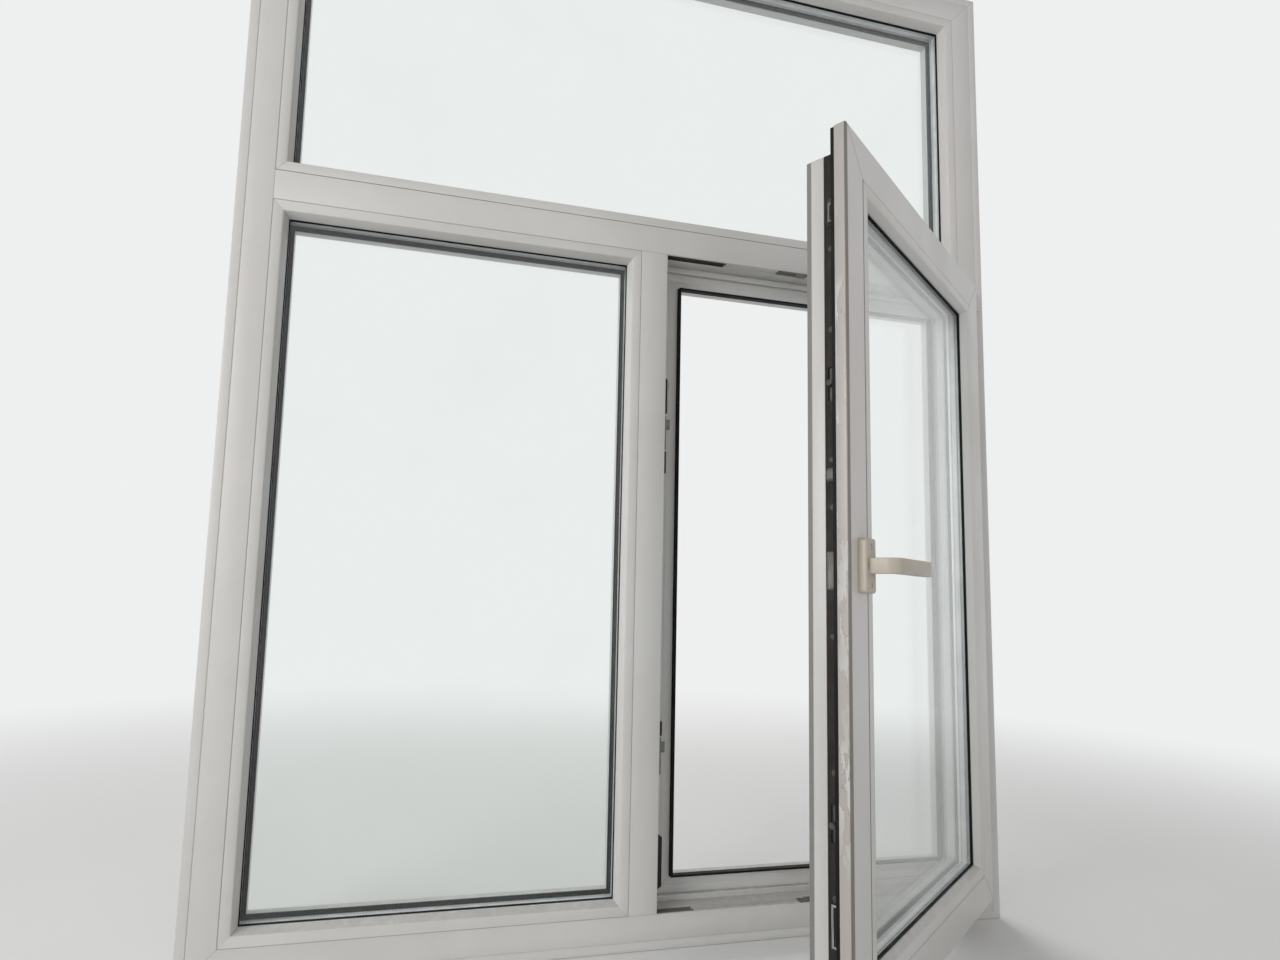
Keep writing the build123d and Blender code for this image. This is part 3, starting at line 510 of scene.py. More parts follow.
def groove_dust_and_shade_group():
    """Old dust and painted shade inside the narrow bead groove, away from the outer sides of the
    frame.
    """
    tree, at, sink = new_group("Groove dust and painted shade", "Start End Side Top", "Mask")
    x, y, z = parts(at["Vector"])
    fade = 0.1 * mm
    within = ramp(y, at["Start"], at["Start"] + fade) * ramp(y, at["End"], at["End"] - fade)
    level = z.calc("GREATER_THAN", 20 * mm) * z.calc("LESS_THAN", at["Top"])
    inner = abs(x).calc("LESS_THAN", at["Side"]) * level
    feed(within * inner * 0.9, sink["Mask"])
    return tree


def grime_group():
    """Patches of dust and grime, heavier on faces that look up."""
    tree, at, sink = new_group("Settled grime", "Scale Amount Ledges", "Mask")
    wide = noise(at["Vector"], at["Scale"], 4.0, 0.6)
    fine = noise(at["Vector"], at["Scale"] * 9.0, 5.0, 0.7)
    patches = ramp(wide, 0.48, 0.80) * ramp(fine, 0.30, 0.72)
    dust = ramp(upward_part(tree), 0.5, 0.95) * at["Ledges"] * ramp(fine, 0.25, 0.62)
    both = patches.calc("MULTIPLY_ADD", at["Amount"], dust)
    feed(both.calc("MINIMUM", 1.0), sink["Mask"])
    return tree


def skin_group():
    """Fine unevenness of an extruded or moulded skin, as a height and a gloss value."""
    tree, at, sink = new_group("Moulded skin", "Scale", "Height Gloss")
    fine = noise(at["Vector"], at["Scale"], 2.0)
    slow = noise(at["Vector"], at["Scale"] * 0.02)
    feed(slow.calc("MULTIPLY_ADD", 2.0, fine), sink["Height"])
    feed(ramp(slow, 0.3, 0.7), sink["Gloss"])
    return tree


def wear_group():
    """Rub marks and spangle of plated metal."""
    tree, at, sink = new_group("Worn plating", "Scale", "Marks Tone")
    marks = noise(stretched(at["Vector"], 0.06), at["Scale"], 4.0, 0.65)
    cloud = noise(at["Vector"], at["Scale"] * 0.2, 4.0, 0.6)
    feed(ramp(marks, 0.42, 0.68), sink["Marks"])
    feed(ramp(cloud, 0.3, 0.7), sink["Tone"])
    return tree


def holes_group():
    """Two rows of small holes along the bars of an upright rectangle."""
    tree, at, sink = new_group("Bar holes", "Middle Pitch", "Mask")
    x, y, z = parts(at["Vector"])
    level = abs(upward_part(tree)).calc("GREATER_THAN", 0.5)
    run = add(tree, "ShaderNodeMix", data_type="FLOAT")
    for place, part in ((0, level), (2, z), (3, x)):
        feed(part, run.inputs[place])
    cell = (Value(tree, run.outputs[0]) / at["Pitch"]).calc("FRACT") - 0.5
    off = (abs(y - at["Middle"]) - at["Pitch"]) / at["Pitch"]
    feed(ramp(cell * cell + off * off, 0.05, 0.03), sink["Mask"])
    return tree


def handled_group():
    """The lock edge of the sash: a film of hand dirt, streaks, a grey lip and a corner line."""
    tree, at, sink = new_group("Handled edge", "Edge Room Outside", "Film Marks Lip Line")
    x, y, _ = parts(at["Vector"])
    inward = x - at["Edge"]
    on_flange = ramp(inward, 0.6 * mm, 0.3 * mm) * y.calc("GREATER_THAN", at["Room"])
    drawn = stretched(at["Vector"], 0.22)
    broad = noise(drawn, 95.0, 5.0, 0.6)
    patches = ramp(noise(at["Vector"], 7.0, 3.0, 0.6), 0.40, 0.60)
    scraped = ramp(broad, 0.52, 0.55) * patches
    feed(on_flange * scraped.calc("MULTIPLY_ADD", -0.62, 0.80), sink["Film"])
    rim = ramp(abs(broad - 0.525), 0.014, 0.004)
    streaks = ramp(noise(drawn, 260.0, 4.0, 0.65), 0.60, 0.74)
    feed(rim.calc("MAXIMUM", streaks) * patches * (on_flange * 0.55), sink["Marks"])
    corner = inward + (y - at["Room"])
    feed(ramp(corner, 3.3 * mm, 2.5 * mm) * 0.8, sink["Line"])
    lip = ramp(at["Outside"] - y, 6.5 * mm, 5.5 * mm)
    feed(lip * ramp(inward, 24 * mm, 22 * mm) * 0.8, sink["Lip"])
    return tree


groups = {}


def use(maker, vector, **values):
    """Place a shared group, built once, and set its own values."""
    if maker not in groups:
        groups[maker] = maker()
    node = add(vector.tree, "ShaderNodeGroup", node_tree=groups[maker])
    feed(vector, node.inputs["Vector"])
    for key, value in values.items():
        feed(value, node.inputs[key.title()])
    return {socket.name: Value(vector.tree, socket) for socket in node.outputs}


def blank(name):
    """A new material with its tree and its Principled shader."""
    material = bpy.data.materials.new(name)
    material.use_nodes = True
    tree = material.node_tree
    return material, tree, tree.nodes["Principled BSDF"]


def place_of(tree, on_sash=False):
    """Object coordinates, turned back to the closed sash where a piece hangs on it."""
    place = Value(tree, add(tree, "ShaderNodeTexCoord").outputs["Object"])
    if not on_sash:
        return place
    back = add(tree, "ShaderNodeVectorRotate", rotation_type="Z_AXIS")
    fill(back, Vector=place, Center=hinge, Angle=-opened)
    return Value(tree, back.outputs[0])


def bump(shader, height, distance):
    """Feed a height into the shader's normal."""
    node = add(height.tree, "ShaderNodeBump")
    fill(node, Height=height, Distance=distance, Strength=1.0)
    feed(Value(height.tree, node.outputs[0]), shader.inputs["Normal"])


def blend(tree, share, first, second, output="Material Output"):
    """Mix two shaders by a share and show the result."""
    node = add(tree, "ShaderNodeMixShader")
    feed(share, node.inputs[0])
    tree.links.new(first.outputs[0], node.inputs[1])
    tree.links.new(second.outputs[0], node.inputs[2])
    tree.links.new(node.outputs[0], tree.nodes[output].inputs["Surface"])


def seen_straight(tree):
    """One for the rays that show the backdrop: from the camera, mirrored or through glass."""
    path = add(tree, "ShaderNodeLightPath")
    camera, mirrored, through = (Value(tree, path.outputs[f"Is {kind} Ray"])
                                 for kind in ("Camera", "Glossy", "Transmission"))
    return camera.calc("MAXIMUM", mirrored.calc("MAXIMUM", through))


def plastic(name, on_sash=False, tint=None, amount=0.25, ledges=0.35, scale=9.0, seam=None,
            seam_share=0.45, joint=None, groove=None, edge=None):
    """Extruded plastic with its skin, ageing, grime, corner seams and a handled edge."""
    colours = bpy.context.scene.window_colours
    dirt = colours.dirt
    material, tree, shader = blank(name)
    vector = place_of(tree, on_sash)
    skin = use(skin_group, vector, scale=520.0)
    grime = use(grime_group, vector, scale=scale, amount=amount, ledges=ledges)["Mask"]
    old = ramp(noise(vector, 3.1, 4.0, 0.55), 0.35, 0.72)
    colour = mix(old, tint or colours.plastic, tint or colours.aged)
    colour = mix(grime, colour, dirt)
    height = skin["Height"] * 0.10
    if seam:
        line = use(seam_group, vector, **seam)["Mask"]
        colour = mix(line * seam_share, colour, scaled(dirt, 1.0 - 0.5 * seam_share))
        height = height - line
    if joint:
        colour = mix(use(joint_group, vector, **joint)["Mask"] * 0.6, colour, scaled(dirt, 0.5))
    if groove:
        # the narrow bead groove is painted dark: dust, and painted shade inside the groove
        colour = mix(use(groove_dust_and_shade_group, vector, **groove)["Mask"], colour, scaled(dirt, 0.45))
    if edge:
        rubbed = use(handled_group, vector, **edge)
        for key, over in (("Film", SKIN_FILM), ("Marks", dirt), ("Lip", GREY_LIP),
                          ("Line", CORNER_LINE)):
            colour = mix(rubbed[key], colour, over)
    gloss = skin["Gloss"].calc("MULTIPLY_ADD", 0.10, 0.30)
    fill(shader, Base_Color=colour, Roughness=grime.calc("MULTIPLY_ADD", 0.35, gloss))
    bump(shader, height, 0.12 * mm)
    return material


def glass(name, tint):
    """Clear float glass that lets the lamps through."""
    material, tree, shader = blank(name)
    smears = ramp(noise(place_of(tree), 5.0, 5.0, 0.6), 0.45, 0.80)
    fill(shader, Transmission_Weight=1.0, IOR=1.45, Roughness=smears * 0.02,
         Base_Color=mix(smears, tint, scaled(tint, 0.985)))
    clear = add(tree, "ShaderNodeBsdfTransparent")
    fill(clear, Color=scaled(tint, 0.97))
    path = add(tree, "ShaderNodeLightPath")
    blend(tree, Value(tree, path.outputs["Is Shadow Ray"]), shader, clear)
    return material


def rubber(name, tint, on_sash=False, dusty=0.15, shine=0.12):
    """Matt gasket rubber, a little dusty."""
    material, tree, shader = blank(name)
    vector = place_of(tree, on_sash)
    skin = use(skin_group, vector, scale=1400.0)
    grime = use(grime_group, vector, scale=26.0, amount=0.30, ledges=0.35)["Mask"]
    fill(shader, Base_Color=mix(grime * dusty, tint, bpy.context.scene.window_colours.dirt),
         Specular_IOR_Level=shine, Roughness=skin["Gloss"].calc("MULTIPLY_ADD", 0.15, 0.48))
    bump(shader, skin["Height"], 0.03 * mm)
    return material


def metal(name, tint, on_sash=False, rough=0.34, scale=300.0, amount=0.2, metallic=0.9,
          shine=0.5, dirt=None):
    """Plated or cast metal with rub marks, spangle and grime."""
    material, tree, shader = blank(name)
    vector = place_of(tree, on_sash)
    wear = use(wear_group, vector, scale=scale)
    grime = use(grime_group, vector, scale=40.0, amount=amount, ledges=0.25)["Mask"]
    shade = mix(wear["Tone"], tint, scaled(tint, 0.8))
    shade = mix(wear["Marks"] * 0.45, shade, scaled(tint, 1.35))
    shade = mix(grime, shade, dirt or bpy.context.scene.window_colours.dirt)
    fill(shader, Base_Color=shade, Specular_IOR_Level=shine,
         Metallic=grime.calc("MULTIPLY_ADD", -0.5 * metallic, metallic),
         Roughness=wear["Tone"].calc("MULTIPLY_ADD", 0.14, rough))
    bump(shader, wear["Marks"], 0.02 * mm)
    return material


def bar_metal(name, tint, pitch, middle, on_sash):
    """Rolled spacer bar with two rows of small holes."""
    material, tree, shader = blank(name)
    vector = place_of(tree, on_sash)
    holes = use(holes_group, vector, middle=middle, pitch=pitch)["Mask"]
    wear = use(wear_group, vector, scale=180.0)
    shade = mix(wear["Tone"], tint, scaled(tint, 0.86))
    fill(shader, Base_Color=mix(holes, shade, scaled(tint, 0.12)), Metallic=0.35,
         Roughness=wear["Marks"].calc("MULTIPLY_ADD", 0.12, 0.36))
    bump(shader, holes * -1.0, 0.3 * mm)
    return material


class WINDOW_OT_profiles(bpy.types.Operator):
    """Finish the white frame, bars and sash, with soft edges and welded corners"""

    bl_idname = "window.profiles"
    bl_label = "White Profiles"

    def open_groove(self, bar, name, level, into, dark):
        """Cut the wide run of the groove that the filler strip leaves open beside the mullion."""
        strip = [vertex.co for vertex in nodes["groove_strips"].data.vertices
                 if abs(vertex.co.z - level) < 6 * mm and vertex.co.x > 25 * mm]
        slack = 0.3 * mm
        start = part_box("keeps")[0].x + slack
        end = min(point.x for point in strip) - slack
        front = 3.2 * mm
        back = max(point.y for point in strip) + 0.8 * mm
        deep = 5.0 * mm
        thick = 0.8 * mm
        middle = Vector(((start + end) / 2, (front + back) / 2, level))
        cutter = block(middle, (end - start, back - front, 2 * deep))
        # the cut faces, and a bed laid inside the groove, take the given darker material; under the
        # transom it paints the shade inside the groove
        cutter.data.materials.append(dark)
        cut_away(bar, cutter, material_mode="TRANSFER")
        bed = block(middle + Vector((0, 0, into * (deep - thick))),
                    (end - start + 1 * mm, back - front + 1 * mm, thick))
        bpy.ops.object.mode_set(mode="EDIT")
        pick_faces(bed, (0, 0, -into))
        rim = 2.2 * mm
        raised = 0.9 * mm
        bpy.ops.mesh.inset(thickness=rim, depth=0.0)
        pull((0, 0, -raised * into))
        bpy.ops.object.mode_set(mode="OBJECT")
        bed.name = name
        dress(bed, "frame", "rubber_black", dark)

    def opening_ring(self, name, near, far, height, edge, white):
        """A welded ring round the opening, between two corners and one height wide."""
        past = 10 * mm
        ring = block((near + far) / 2, far - near)
        inner = far - near - 2 * Vector((height, -past, height))
        cut_away(ring, block((near + far) / 2, inner))
        round_edges(ring, edge, 20 * mm)
        ring.name = name
        dress(ring, "frame", "pvc_white", white)

    def leg_parts(self, sizes):
        """The outer part of the leg round the opening and the step along its foot."""
        low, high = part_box("stop_gasket")
        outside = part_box("outer_frame")[1].y
        inset = 3.0 * mm
        buried = 2 * mm
        near = Vector((low.x + inset, high.y - sizes.lip_step, low.z + inset))
        far = Vector((high.x - inset, outside + sizes.lip_step, high.z - inset))
        seam = {**outline(near, far), "reach": 25 * mm, "width": sizes.seam_width}
        white = plastic("lip white", seam=seam, amount=0.10, ledges=0.3)
        edge = sizes.profile_edge
        self.opening_ring("opening_leg_lip", near, far, sizes.leg_lip + buried, edge, white)
        overlap = 0.1 * mm
        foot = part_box("keeps")[0].x - near.x - overlap
        near = Vector((near.x + foot, high.y - sizes.step_depth, near.z + foot))
        far = Vector((far.x - foot, high.y + overlap, far.z - foot))
        self.opening_ring("opening_leg_step", near, far, sizes.step_height, edge, white)

    def execute(self, context):
        sizes = context.scene.window_sizes
        colours = context.scene.window_colours
        low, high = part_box("outer_frame")
        slot_low, slot_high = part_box("groove_strips")
        rim = 20 * mm
        groove = {"start": slot_low.y, "end": slot_high.y, "side": high.x - rim,
                  "top": high.z - rim}
        seam = {**outline(low, high), "reach": sizes.seam_reach, "width": sizes.seam_width}
        frame_white = plastic("frame white", seam=seam, amount=0.06, ledges=0.2, groove=groove)
        bar_white = plastic("bar white", amount=0.06, ledges=0.2, groove=groove)
        low, high = closed_box("sash_frame")
        seam = {**outline(low, high), "reach": sizes.seam_reach, "width": 1.4 * sizes.seam_width}
        sash_white = plastic(
            "sash white", on_sash=True, seam=seam, seam_share=1.0, amount=0.08, ledges=0.25,
            scale=14.0, edge={"edge": low.x, "room": low.y, "outside": high.y})

        def profile(node, name, body, white):
            return soft_edges(node, name, body, "pvc_white", white, sizes.profile_edge, 20 * mm)

        ring = profile("outer_frame", "frame_profile", "frame", frame_white)
        bar = profile("transom", "transom_profile", "frame", bar_white)
        keeps_low, keeps_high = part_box("keeps")
        # near black rubber that paints the shade inside the open transom groove
        dark = rubber("recess painted shade", colours.recess, dusty=0.3, shine=0.2)
        self.open_groove(bar, "transom_groove_shadow_bed", keeps_high.z, 1, dark)
        # a darker grey for the cut faces and the bed of the open sill groove
        dusty = rubber("sill recess grey", colours.sill_recess, dusty=0.6, shine=0.2)
        self.open_groove(ring, "sill_groove_bed", keeps_low.z, -1, dusty)
        self.leg_parts(sizes)
        profile("mullion", "mullion_profile", "frame", bar_white)
        profile("sash_frame", "sash_profile", "sash", sash_white)
        for light in LIGHTS:
            moving = light == "sash"
            white = plastic(f"{light} bead white", on_sash=moving, amount=0.05, ledges=0.2,
                            joint={**bead_outline(light), "width": sizes.joint_width})
            for way in WAYS:
                soft_edges(f"{light}_beads_{way}", f"{light}_bead_{way}_strips",
                           "sash" if moving else "frame", "bead_white", white, sizes.bead_edge,
                           15 * mm)
        paint("groove_strips", plastic("filler white", amount=0.04, ledges=0.2))
        return {"FINISHED"}


class WINDOW_OT_glazing(bpy.types.Operator):
    """Finish the panes, spacer bars, gaskets and packers"""

    bl_idname = "window.glazing"
    bl_label = "Glass and Gaskets"

    def slim_gasket(self, black, trim, lift):
        """The stop gasket moved inward onto the lip of the leg, and drawn in on its foot side."""
        piece = linked("stop_gasket_lip", nodes["stop_gasket"].data)
        low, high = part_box("stop_gasket")
        for vertex in piece.data.vertices:
            for axis in (0, 2):
                if abs(vertex.co[axis] - low[axis]) < ON_FACE:
                    vertex.co[axis] += trim
                elif abs(vertex.co[axis] - high[axis]) < ON_FACE:
                    vertex.co[axis] -= trim
                inward = 1 if vertex.co[axis] < (low[axis] + high[axis]) / 2 else -1
                vertex.co[axis] += lift * inward
        dress(piece, "frame", "rubber_black", black, "stop_gasket")

    def execute(self, context):
        sizes = context.scene.window_sizes
        colours = context.scene.window_colours
        clear = glass("clear glass", colours.glass)
        black = rubber("gasket rubber", colours.rubber)
        sash_black = rubber("sash gasket rubber", colours.rubber, on_sash=True)
        for light in LIGHTS:
            moving = light == "sash"
            for side in ("inner", "outer"):
                paint(f"{light}_{side}_pane", clear)
            for side in ("bead", "leg"):
                paint(f"{light}_{side}_gasket", sash_black if moving else black)
            low, high = (closed_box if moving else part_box)(f"{light}_spacer")
            paint(f"{light}_spacer", bar_metal(f"{light} spacer bar", colours.spacer,
                                               sizes.hole_pitch, (low.y + high.y) / 2, moving))
        self.slim_gasket(black, sizes.gasket_trim, sizes.leg_lip)
        paint("overlap_gasket", rubber("overlap rubber", colours.shadow, on_sash=True, dusty=0.08,
                                       shine=0.15))
        packer = plastic("packer plastic", tint=colours.packer)
        for node in ("frame_packers", "sash_packers"):
            paint(node, packer)
        return {"FINISHED"}


class WINDOW_OT_hardware(bpy.types.Operator):
    """Finish the steels, face plates, rods, keeps, hinges and the gearbox"""

    bl_idname = "window.hardware"
    bl_label = "Steel and Hardware"

    def face_pieces(self, steels):
        """The cast cover on the face plate beside the handle, and the rings round its slots."""
        plate_low, plate_high = closed_box("lock_plate")
        case_low, case_high = closed_box("gearbox")
        middle = (plate_low.y + plate_high.y) / 2
        place = (plate_low.x - 0.7 * mm, middle + 2.2 * mm, (case_low.z + case_high.z) / 2 - 6 * mm)
        cover = raised_plate("latch_cover", place, (1.8 * mm, 9.0 * mm, 44.0 * mm), -1, swing)
        dress(cover, "sash", "gearbox_zinc", steels["latch"])
        for name, level, tall, wide, steel in SLOT_RINGS:
            place = Vector((plate_low.x - 0.3 * mm, middle, level * mm))
            ring = block(place, (1.2 * mm, wide * mm, tall * mm))
            window = (4 * mm, (wide - 3.6) * mm, (tall - 5) * mm)
            cut_away(ring, block(place - Vector((0, 0.7 * mm, 0)), window))
            round_edges(ring, 0.35 * mm, 2 * mm)
            settle(ring, swing)
            ring.name = name
            dress(ring, "sash", "gearbox_zinc", steels[steel])

    def edge_plates(self, dark, bright):
        """Thin striker plates along the room edge of the mullion, one of them with a small hook;
        the plates are near black, painted shade in part.
        """
        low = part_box("keeps")[0]
        y = low.y + 5.0 * mm
        sunk = 0.1 * mm
        for name, start, end, thick in STRIKERS:
            place = (low.x + thick * mm / 2 - sunk, y, (start + end) / 2 * mm)
            plate = raised_plate(name, place, (thick * mm, 9.6 * mm, (end - start) * mm), 1)
            dress(plate, "frame", "steel_zinc", dark)
        hook = raised_plate("striker_hook", (low.x + 4.6 * mm, y - 0.5 * mm, HOOK_LEVEL),
                            (3.2 * mm, 8.0 * mm, 9.0 * mm), 1)
        dress(hook, "frame", "steel_zinc", bright)

    def execute(self, context):
        edge = context.scene.window_sizes.metal_edge
        colours = context.scene.window_colours
        zinc = metal("plated steel", colours.zinc)
        sash_zinc = metal("sash plated steel", colours.zinc, on_sash=True)
        # the face plates take the near black plate tone, painted shade, with the painted shade of
        # the recess tone as their grime
        plate = metal("face plate steel with painted shade", colours.plate, on_sash=True, rough=0.5, amount=0.5,
                      metallic=0.12, shine=0.15, dirt=colours.recess)
        cast = metal("cast zinc", colours.zinc, on_sash=True, rough=0.5, scale=700.0)
        # the latch and keep steels take the latch tone, zinc darkened as painted shade
        latch = metal("latch steel with painted shade", colours.latch, on_sash=True, rough=0.55, amount=0.6,
                      metallic=0.4)
        strike = metal("keep steel with painted shade", colours.latch, rough=0.5, amount=0.4, metallic=0.6)
        # the rods take the screw tone, plated steel made near black as painted shade
        shade_darkened_steel = metal("rod steel with painted shade", colours.screw, on_sash=True, rough=0.52, amount=0.5, metallic=0.5)
        cover = plastic("cover white", amount=0.15)
        for material, painted in (
            (zinc, ("jamb_steel", "rail_steel", "transom_steel", "mullion_steel")),
            (sash_zinc, ("stile_steel", "sash_rail_steel", "spindle", "pinion", "pivot_block",
                         "stay_arm", "stay_slider", "corner_hinge")),
            (shade_darkened_steel, ("side_rod", "top_rod", "bottom_rod")),
            (cast, ("gearbox",)),
        ):
            for node in painted:
                paint(node, material)
        for node, name, body, slot, material in (
            ("lock_plate", "lock_face_plate", "sash", "plate_dark", plate),
            ("bottom_plate", "bottom_face_plate", "sash", "plate_dark", plate),
            ("stay_plate", "stay_face_plate", "sash", "plate_dark", plate),
            ("corner_drives", "corner_drive_plates", "sash", "plate_dark", plate),
            ("lift_block", "lift_ramp", "sash", "gearbox_zinc", latch),
            ("keeps", "keep_plates", "frame", "steel_zinc", strike),
            ("lower_bearing", "lower_hinge_bearing", "frame", "cover_white", cover),
            ("stay_bearing", "upper_hinge_bearing", "frame", "cover_white", cover),
            ("bearing_cover", "hinge_cover", "frame", "cover_white", cover),
        ):
            soft_edges(node, name, body, slot, material, edge, 3 * mm)
        self.face_pieces({"latch": latch, "bright": sash_zinc})
        # the strikers take the near black plate tone, painted shade
        self.edge_plates(metal("striker steel with painted shade", colours.plate, rough=0.42, metallic=0.8),
                         metal("hook steel", colours.zinc, rough=0.4))
        return {"FINISHED"}


def screw_head(radius, rise, shank_radius, shank, recess):
    """A raised screw head with a cross recess, looking along minus X, its seat at the origin."""
    head = rod((-rise / 2, 0, 0), radius, rise, 20)
    bpy.ops.object.mode_set(mode="EDIT")
    pick_faces(head, (0, 0, -1))
    bpy.ops.mesh.inset(thickness=radius * 0.28, depth=0.0)
    bpy.ops.object.mode_set(mode="OBJECT")
    settle(head)
    mesh = bmesh.new()
    mesh.from_mesh(head.data)
    top = min(vertex.co.x for vertex in mesh.verts)
    for vertex in mesh.verts:
        if abs(vertex.co.x - top) < ON_FACE and vertex.co.yz.length > radius * 0.9:
            vertex.co.x += rise * 0.55
    mesh.to_mesh(head.data)
    mesh.free()
    for turn in (0.0, math.pi / 2):
        arm = (rise * 1.3, radius * 1.15, recess)
        cut_away(head, block((-rise, 0, 0), arm, rotation=(turn, 0, 0)))
    stem = rod((shank / 2, 0, 0), shank_radius, shank, 12)
    settle(stem)
    alone(head)
    stem.select_set(True)
    bpy.ops.object.join()
    return head


def copies(model, name, places):
    """Copies of one mesh at each place, joined into a single piece."""
    made = [linked(name, model.data) for _ in places]
    for piece, place in zip(made, places):
        piece.matrix_world = place
    alone(made[0])
    for piece in made:
        piece.select_set(True)
    bpy.ops.object.join()
    made[0].name = name
    bpy.ops.object.transform_apply(location=True, rotation=True, scale=True)
    bpy.data.objects.remove(model)
    return made[0]


class WINDOW_OT_screws(bpy.types.Operator):
    """Model the screws of the face plates, with their cross recesses"""

    bl_idname = "window.screws"
    bl_label = "Screws"

    def execute(self, context):
        low, high = closed_box("plate_screws")
        seat = closed_box("lock_plate")[0].x
        radius = (high.y - low.y) / 2
        middle = (high.y + low.y) / 2
        model = screw_head(radius, seat - low.x, 2.0 * mm, high.x - seat,
                           context.scene.window_sizes.recess_width)
        places = []
        for count, height in enumerate(closed_groups("plate_screws", 2, 5 * mm)):
            spin = Matrix.Rotation(count * 0.7, 4, "X")
            places.append(swing @ Matrix.Translation((seat, middle, height)) @ spin)
        piece = copies(model, "plate_screw_heads", places)
        # the screw heads take the screw tone, plated steel made near black as painted shade
        shade_darkened_steel = metal("screw steel with painted shade", context.scene.window_colours.screw, on_sash=True, rough=0.50,
                     amount=0.7, metallic=0.6)
        dress(piece, "sash", "steel_zinc", shade_darkened_steel, "plate_screws")
        return {"FINISHED"}


class WINDOW_OT_handle(bpy.types.Operator):
    """Model the cranked lever of the handle and its rosette"""

    bl_idname = "window.handle"
    bl_label = "Handle"

    def push(self, lever, value, grow):
        """Extrude the end of the lever, then widen or narrow it about its middle."""
        pull(value)
        mesh = bmesh.from_edit_mesh(lever.data)
        chosen = [vertex.co for vertex in mesh.verts if vertex.select]
        bpy.ops.transform.resize(value=grow, center_override=sum(chosen, Vector()) / len(chosen))

    def execute(self, context):
        # the handle and rosette take a beige darkened to stand for the shade on a pale handle,
        # partly painted shade
        shaded_handle_tone = plastic("handle tone with painted shade", on_sash=True, tint=context.scene.window_colours.handle,
                          scale=30.0)
        soft_edges("rosette", "rosette_body", "sash", "handle_white", shaded_handle_tone, 0.2 * mm, 30 * mm)
        paint("rosette_screws", shaded_handle_tone)
        low, high = closed_box("handle_lever")
        rose_low, rose_high = closed_box("rosette")
        x = (rose_low.x + rose_high.x) / 2
        z = (rose_low.z + rose_high.z) / 2
        tall = 9.4 * mm
        thick = 5.4 * mm
        bend = 10.0 * mm
        grip_y = low.y + thick
        start_y = rose_low.y + 1.0 * mm
        lever = block((x, start_y - 0.5 * mm, z), (thick * 2.3, 1.0 * mm, tall * 1.96))
        bpy.ops.object.mode_set(mode="EDIT")
        pick_faces(lever, (0, -1, 0))
        collar = 0.6 * mm
        half = (start_y - (grip_y + bend) - 1.6 * mm) / 2
        self.push(lever, (0, -collar, 0), (0.94, 1, 0.97))
        self.push(lever, (0, -half, 0), (0.96, 1.0, 0.99))
        self.push(lever, (0, -half, 0), (0.98, 1.0, 1.0))
        bpy.ops.mesh.spin(steps=6, angle=math.pi / 2, center=(x + bend, grip_y + bend, z),
                          axis=(0, 0, -1), dupli=False)
        reach = high.x - (x + bend)
        for share, grow in ((0.30, (1, 0.96, 1.0)), (0.35, (1, 1.0, 1.02)),
                            (0.30, (1, 0.95, 1.0)), (0.05, (1, 0.82, 0.92))):
            self.push(lever, (reach * share, 0, 0), grow)
        pick_edges(lever, lambda edge: edge.calc_face_angle() > math.radians(50.0))
        bpy.ops.mesh.bevel(offset=2.6 * mm, segments=4, affect="EDGES", clamp_overlap=True)
        bpy.ops.object.mode_set(mode="OBJECT")
        bpy.ops.object.shade_smooth_by_angle(angle=math.radians(40.0))
        settle(lever, swing)
        lever.name = "handle_grip"
        dress(lever, "handle", "handle_white", shaded_handle_tone, "handle_lever")
        return {"FINISHED"}


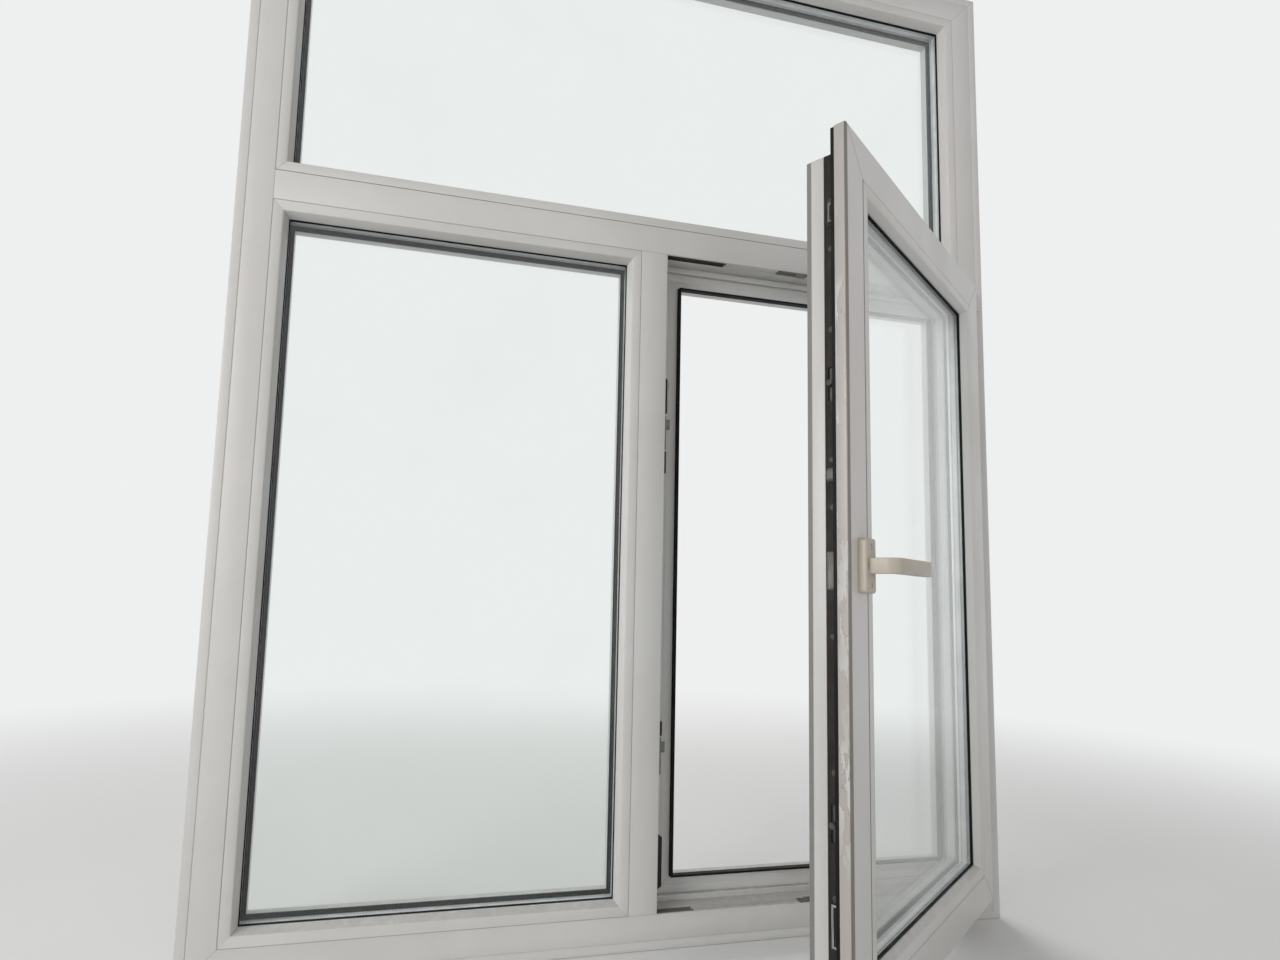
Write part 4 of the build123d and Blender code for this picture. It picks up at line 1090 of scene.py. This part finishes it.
class WINDOW_OT_stage(bpy.types.Operator):
    """Set the floor, the lamps, the sky and the camera"""

    bl_idname = "window.stage"
    bl_label = "Stage"

    def floor(self, tint):
        """A wide pale floor that melts into the backdrop away from the window."""
        bpy.ops.mesh.primitive_plane_add(size=60.0, location=(0, 0, -0.5 * mm))
        floor = bpy.context.object
        settle(floor)
        bpy.ops.object.mode_set(mode="EDIT")
        bpy.ops.mesh.select_all(action="SELECT")
        bpy.ops.mesh.subdivide(number_cuts=20)
        bpy.ops.object.mode_set(mode="OBJECT")
        floor.name = "pale_floor"
        material, tree, shader = blank("pale floor")
        place = place_of(tree)
        fill(shader, Base_Color=mix(noise(place, 3.0), tint, scaled(tint, 0.97)), Roughness=0.85)
        away = add(tree, "ShaderNodeVectorMath", operation="LENGTH")
        feed(place, away.inputs[0])
        far = ramp(Value(tree, away.outputs["Value"]), 1.1, 3.0)
        glow = add(tree, "ShaderNodeEmission")
        fill(glow, Color=SKY_TONE)
        blend(tree, seen_straight(tree) * far, shader, glow)
        floor.data.materials.append(material)

    def sky(self, context, strength):
        """Even light from all round, with a pale backdrop for the rays that show it."""
        world = bpy.data.worlds.new("even sky")
        context.scene.world = world
        world.use_nodes = True
        tree = world.node_tree
        light = tree.nodes["Background"]
        shown = add(tree, "ShaderNodeBackground")
        for node, tint, power in ((light, (1.0, 1.0, 1.0), strength), (shown, SKY_TONE, 1.0)):
            fill(node, Color=tint, Strength=power)
        blend(tree, seen_straight(tree), light, shown, "World Output")

    def lamp(self, name, place, height, size, power, mirrored=False):
        """A round soft lamp, aimed at the middle of the window at one height."""
        bpy.ops.object.light_add(type="AREA", location=place)
        lamp = bpy.context.object
        lamp.name = name
        lamp.data.shape = "DISK"
        lamp.data.size = size
        lamp.data.energy = power
        lamp.visible_camera = False
        lamp.visible_transmission = False
        lamp.visible_glossy = mirrored
        aim = Vector((0, 0, height)) - Vector(place)
        lamp.rotation_euler = aim.to_track_quat("-Z", "Y").to_euler()

    def camera(self, context, stage):
        """The camera of the photograph."""
        bpy.ops.object.camera_add(location=stage.eye)
        camera = bpy.context.object
        camera.name = "camera"
        aim = (Matrix.Rotation(stage.turn, 3, "Z") @ Matrix.Rotation(stage.pitch, 3, "X")
               @ Matrix.Rotation(stage.roll, 3, "Y") @ Matrix.Rotation(math.pi / 2, 3, "X"))
        camera.rotation_euler = aim.to_euler()
        camera.data.sensor_width = 36.0
        camera.data.lens = stage.lens
        camera.data.shift_x = stage.shift_x
        camera.data.shift_y = stage.shift_y
        camera.data.clip_start = 0.02
        context.scene.camera = camera

    def execute(self, context):
        stage = context.scene.window_stage
        self.floor(stage.floor)
        self.sky(context, stage.sky)
        self.lamp("key lamp", (-3.0, -1.7, 1.3), 0.6, 2.2, stage.key_power, mirrored=True)
        self.lamp("fill lamp", (0.8, -3.0, 0.7), 0.5, 1.8, stage.fill_power)
        self.lamp("back lamp", (0.6, 3.0, 2.6), 0.9, 2.4, stage.back_power)
        self.camera(context, stage)
        context.scene.view_settings.view_transform = "Standard"
        return {"FINISHED"}


class WINDOW_PT_tools(bpy.types.Panel):
    """The steps that dress the window"""

    bl_idname = "WINDOW_PT_tools"
    bl_label = "Three Light Window"
    bl_space_type = "VIEW_3D"
    bl_region_type = "UI"
    bl_category = "Window"

    def draw(self, context):
        layout = self.layout
        for step in STEPS:
            layout.operator(step.bl_idname)
        for group in GROUPS:
            settings = getattr(context.scene, group)
            box = layout.box()
            for key in settings.__annotations__:
                box.prop(settings, key)


GROUPS = {"window_sizes": WindowSizes, "window_colours": WindowColours,
          "window_stage": WindowStage}
STEPS = (WINDOW_OT_profiles, WINDOW_OT_glazing, WINDOW_OT_hardware, WINDOW_OT_screws,
         WINDOW_OT_handle, WINDOW_OT_stage)
CLASSES = (*GROUPS.values(), *STEPS, WINDOW_PT_tools)


def register():
    for cls in CLASSES:
        bpy.utils.register_class(cls)
    for name, group in GROUPS.items():
        setattr(bpy.types.Scene, name, bpy.props.PointerProperty(type=group))


def unregister():
    for name in GROUPS:
        delattr(bpy.types.Scene, name)
    for cls in reversed(CLASSES):
        bpy.utils.unregister_class(cls)


def main():
    register()
    bpy.ops.window.profiles()
    bpy.ops.window.glazing()
    bpy.ops.window.hardware()
    bpy.ops.window.screws()
    bpy.ops.window.handle()
    bpy.ops.window.stage()


if __name__ == "__main__":
    main()
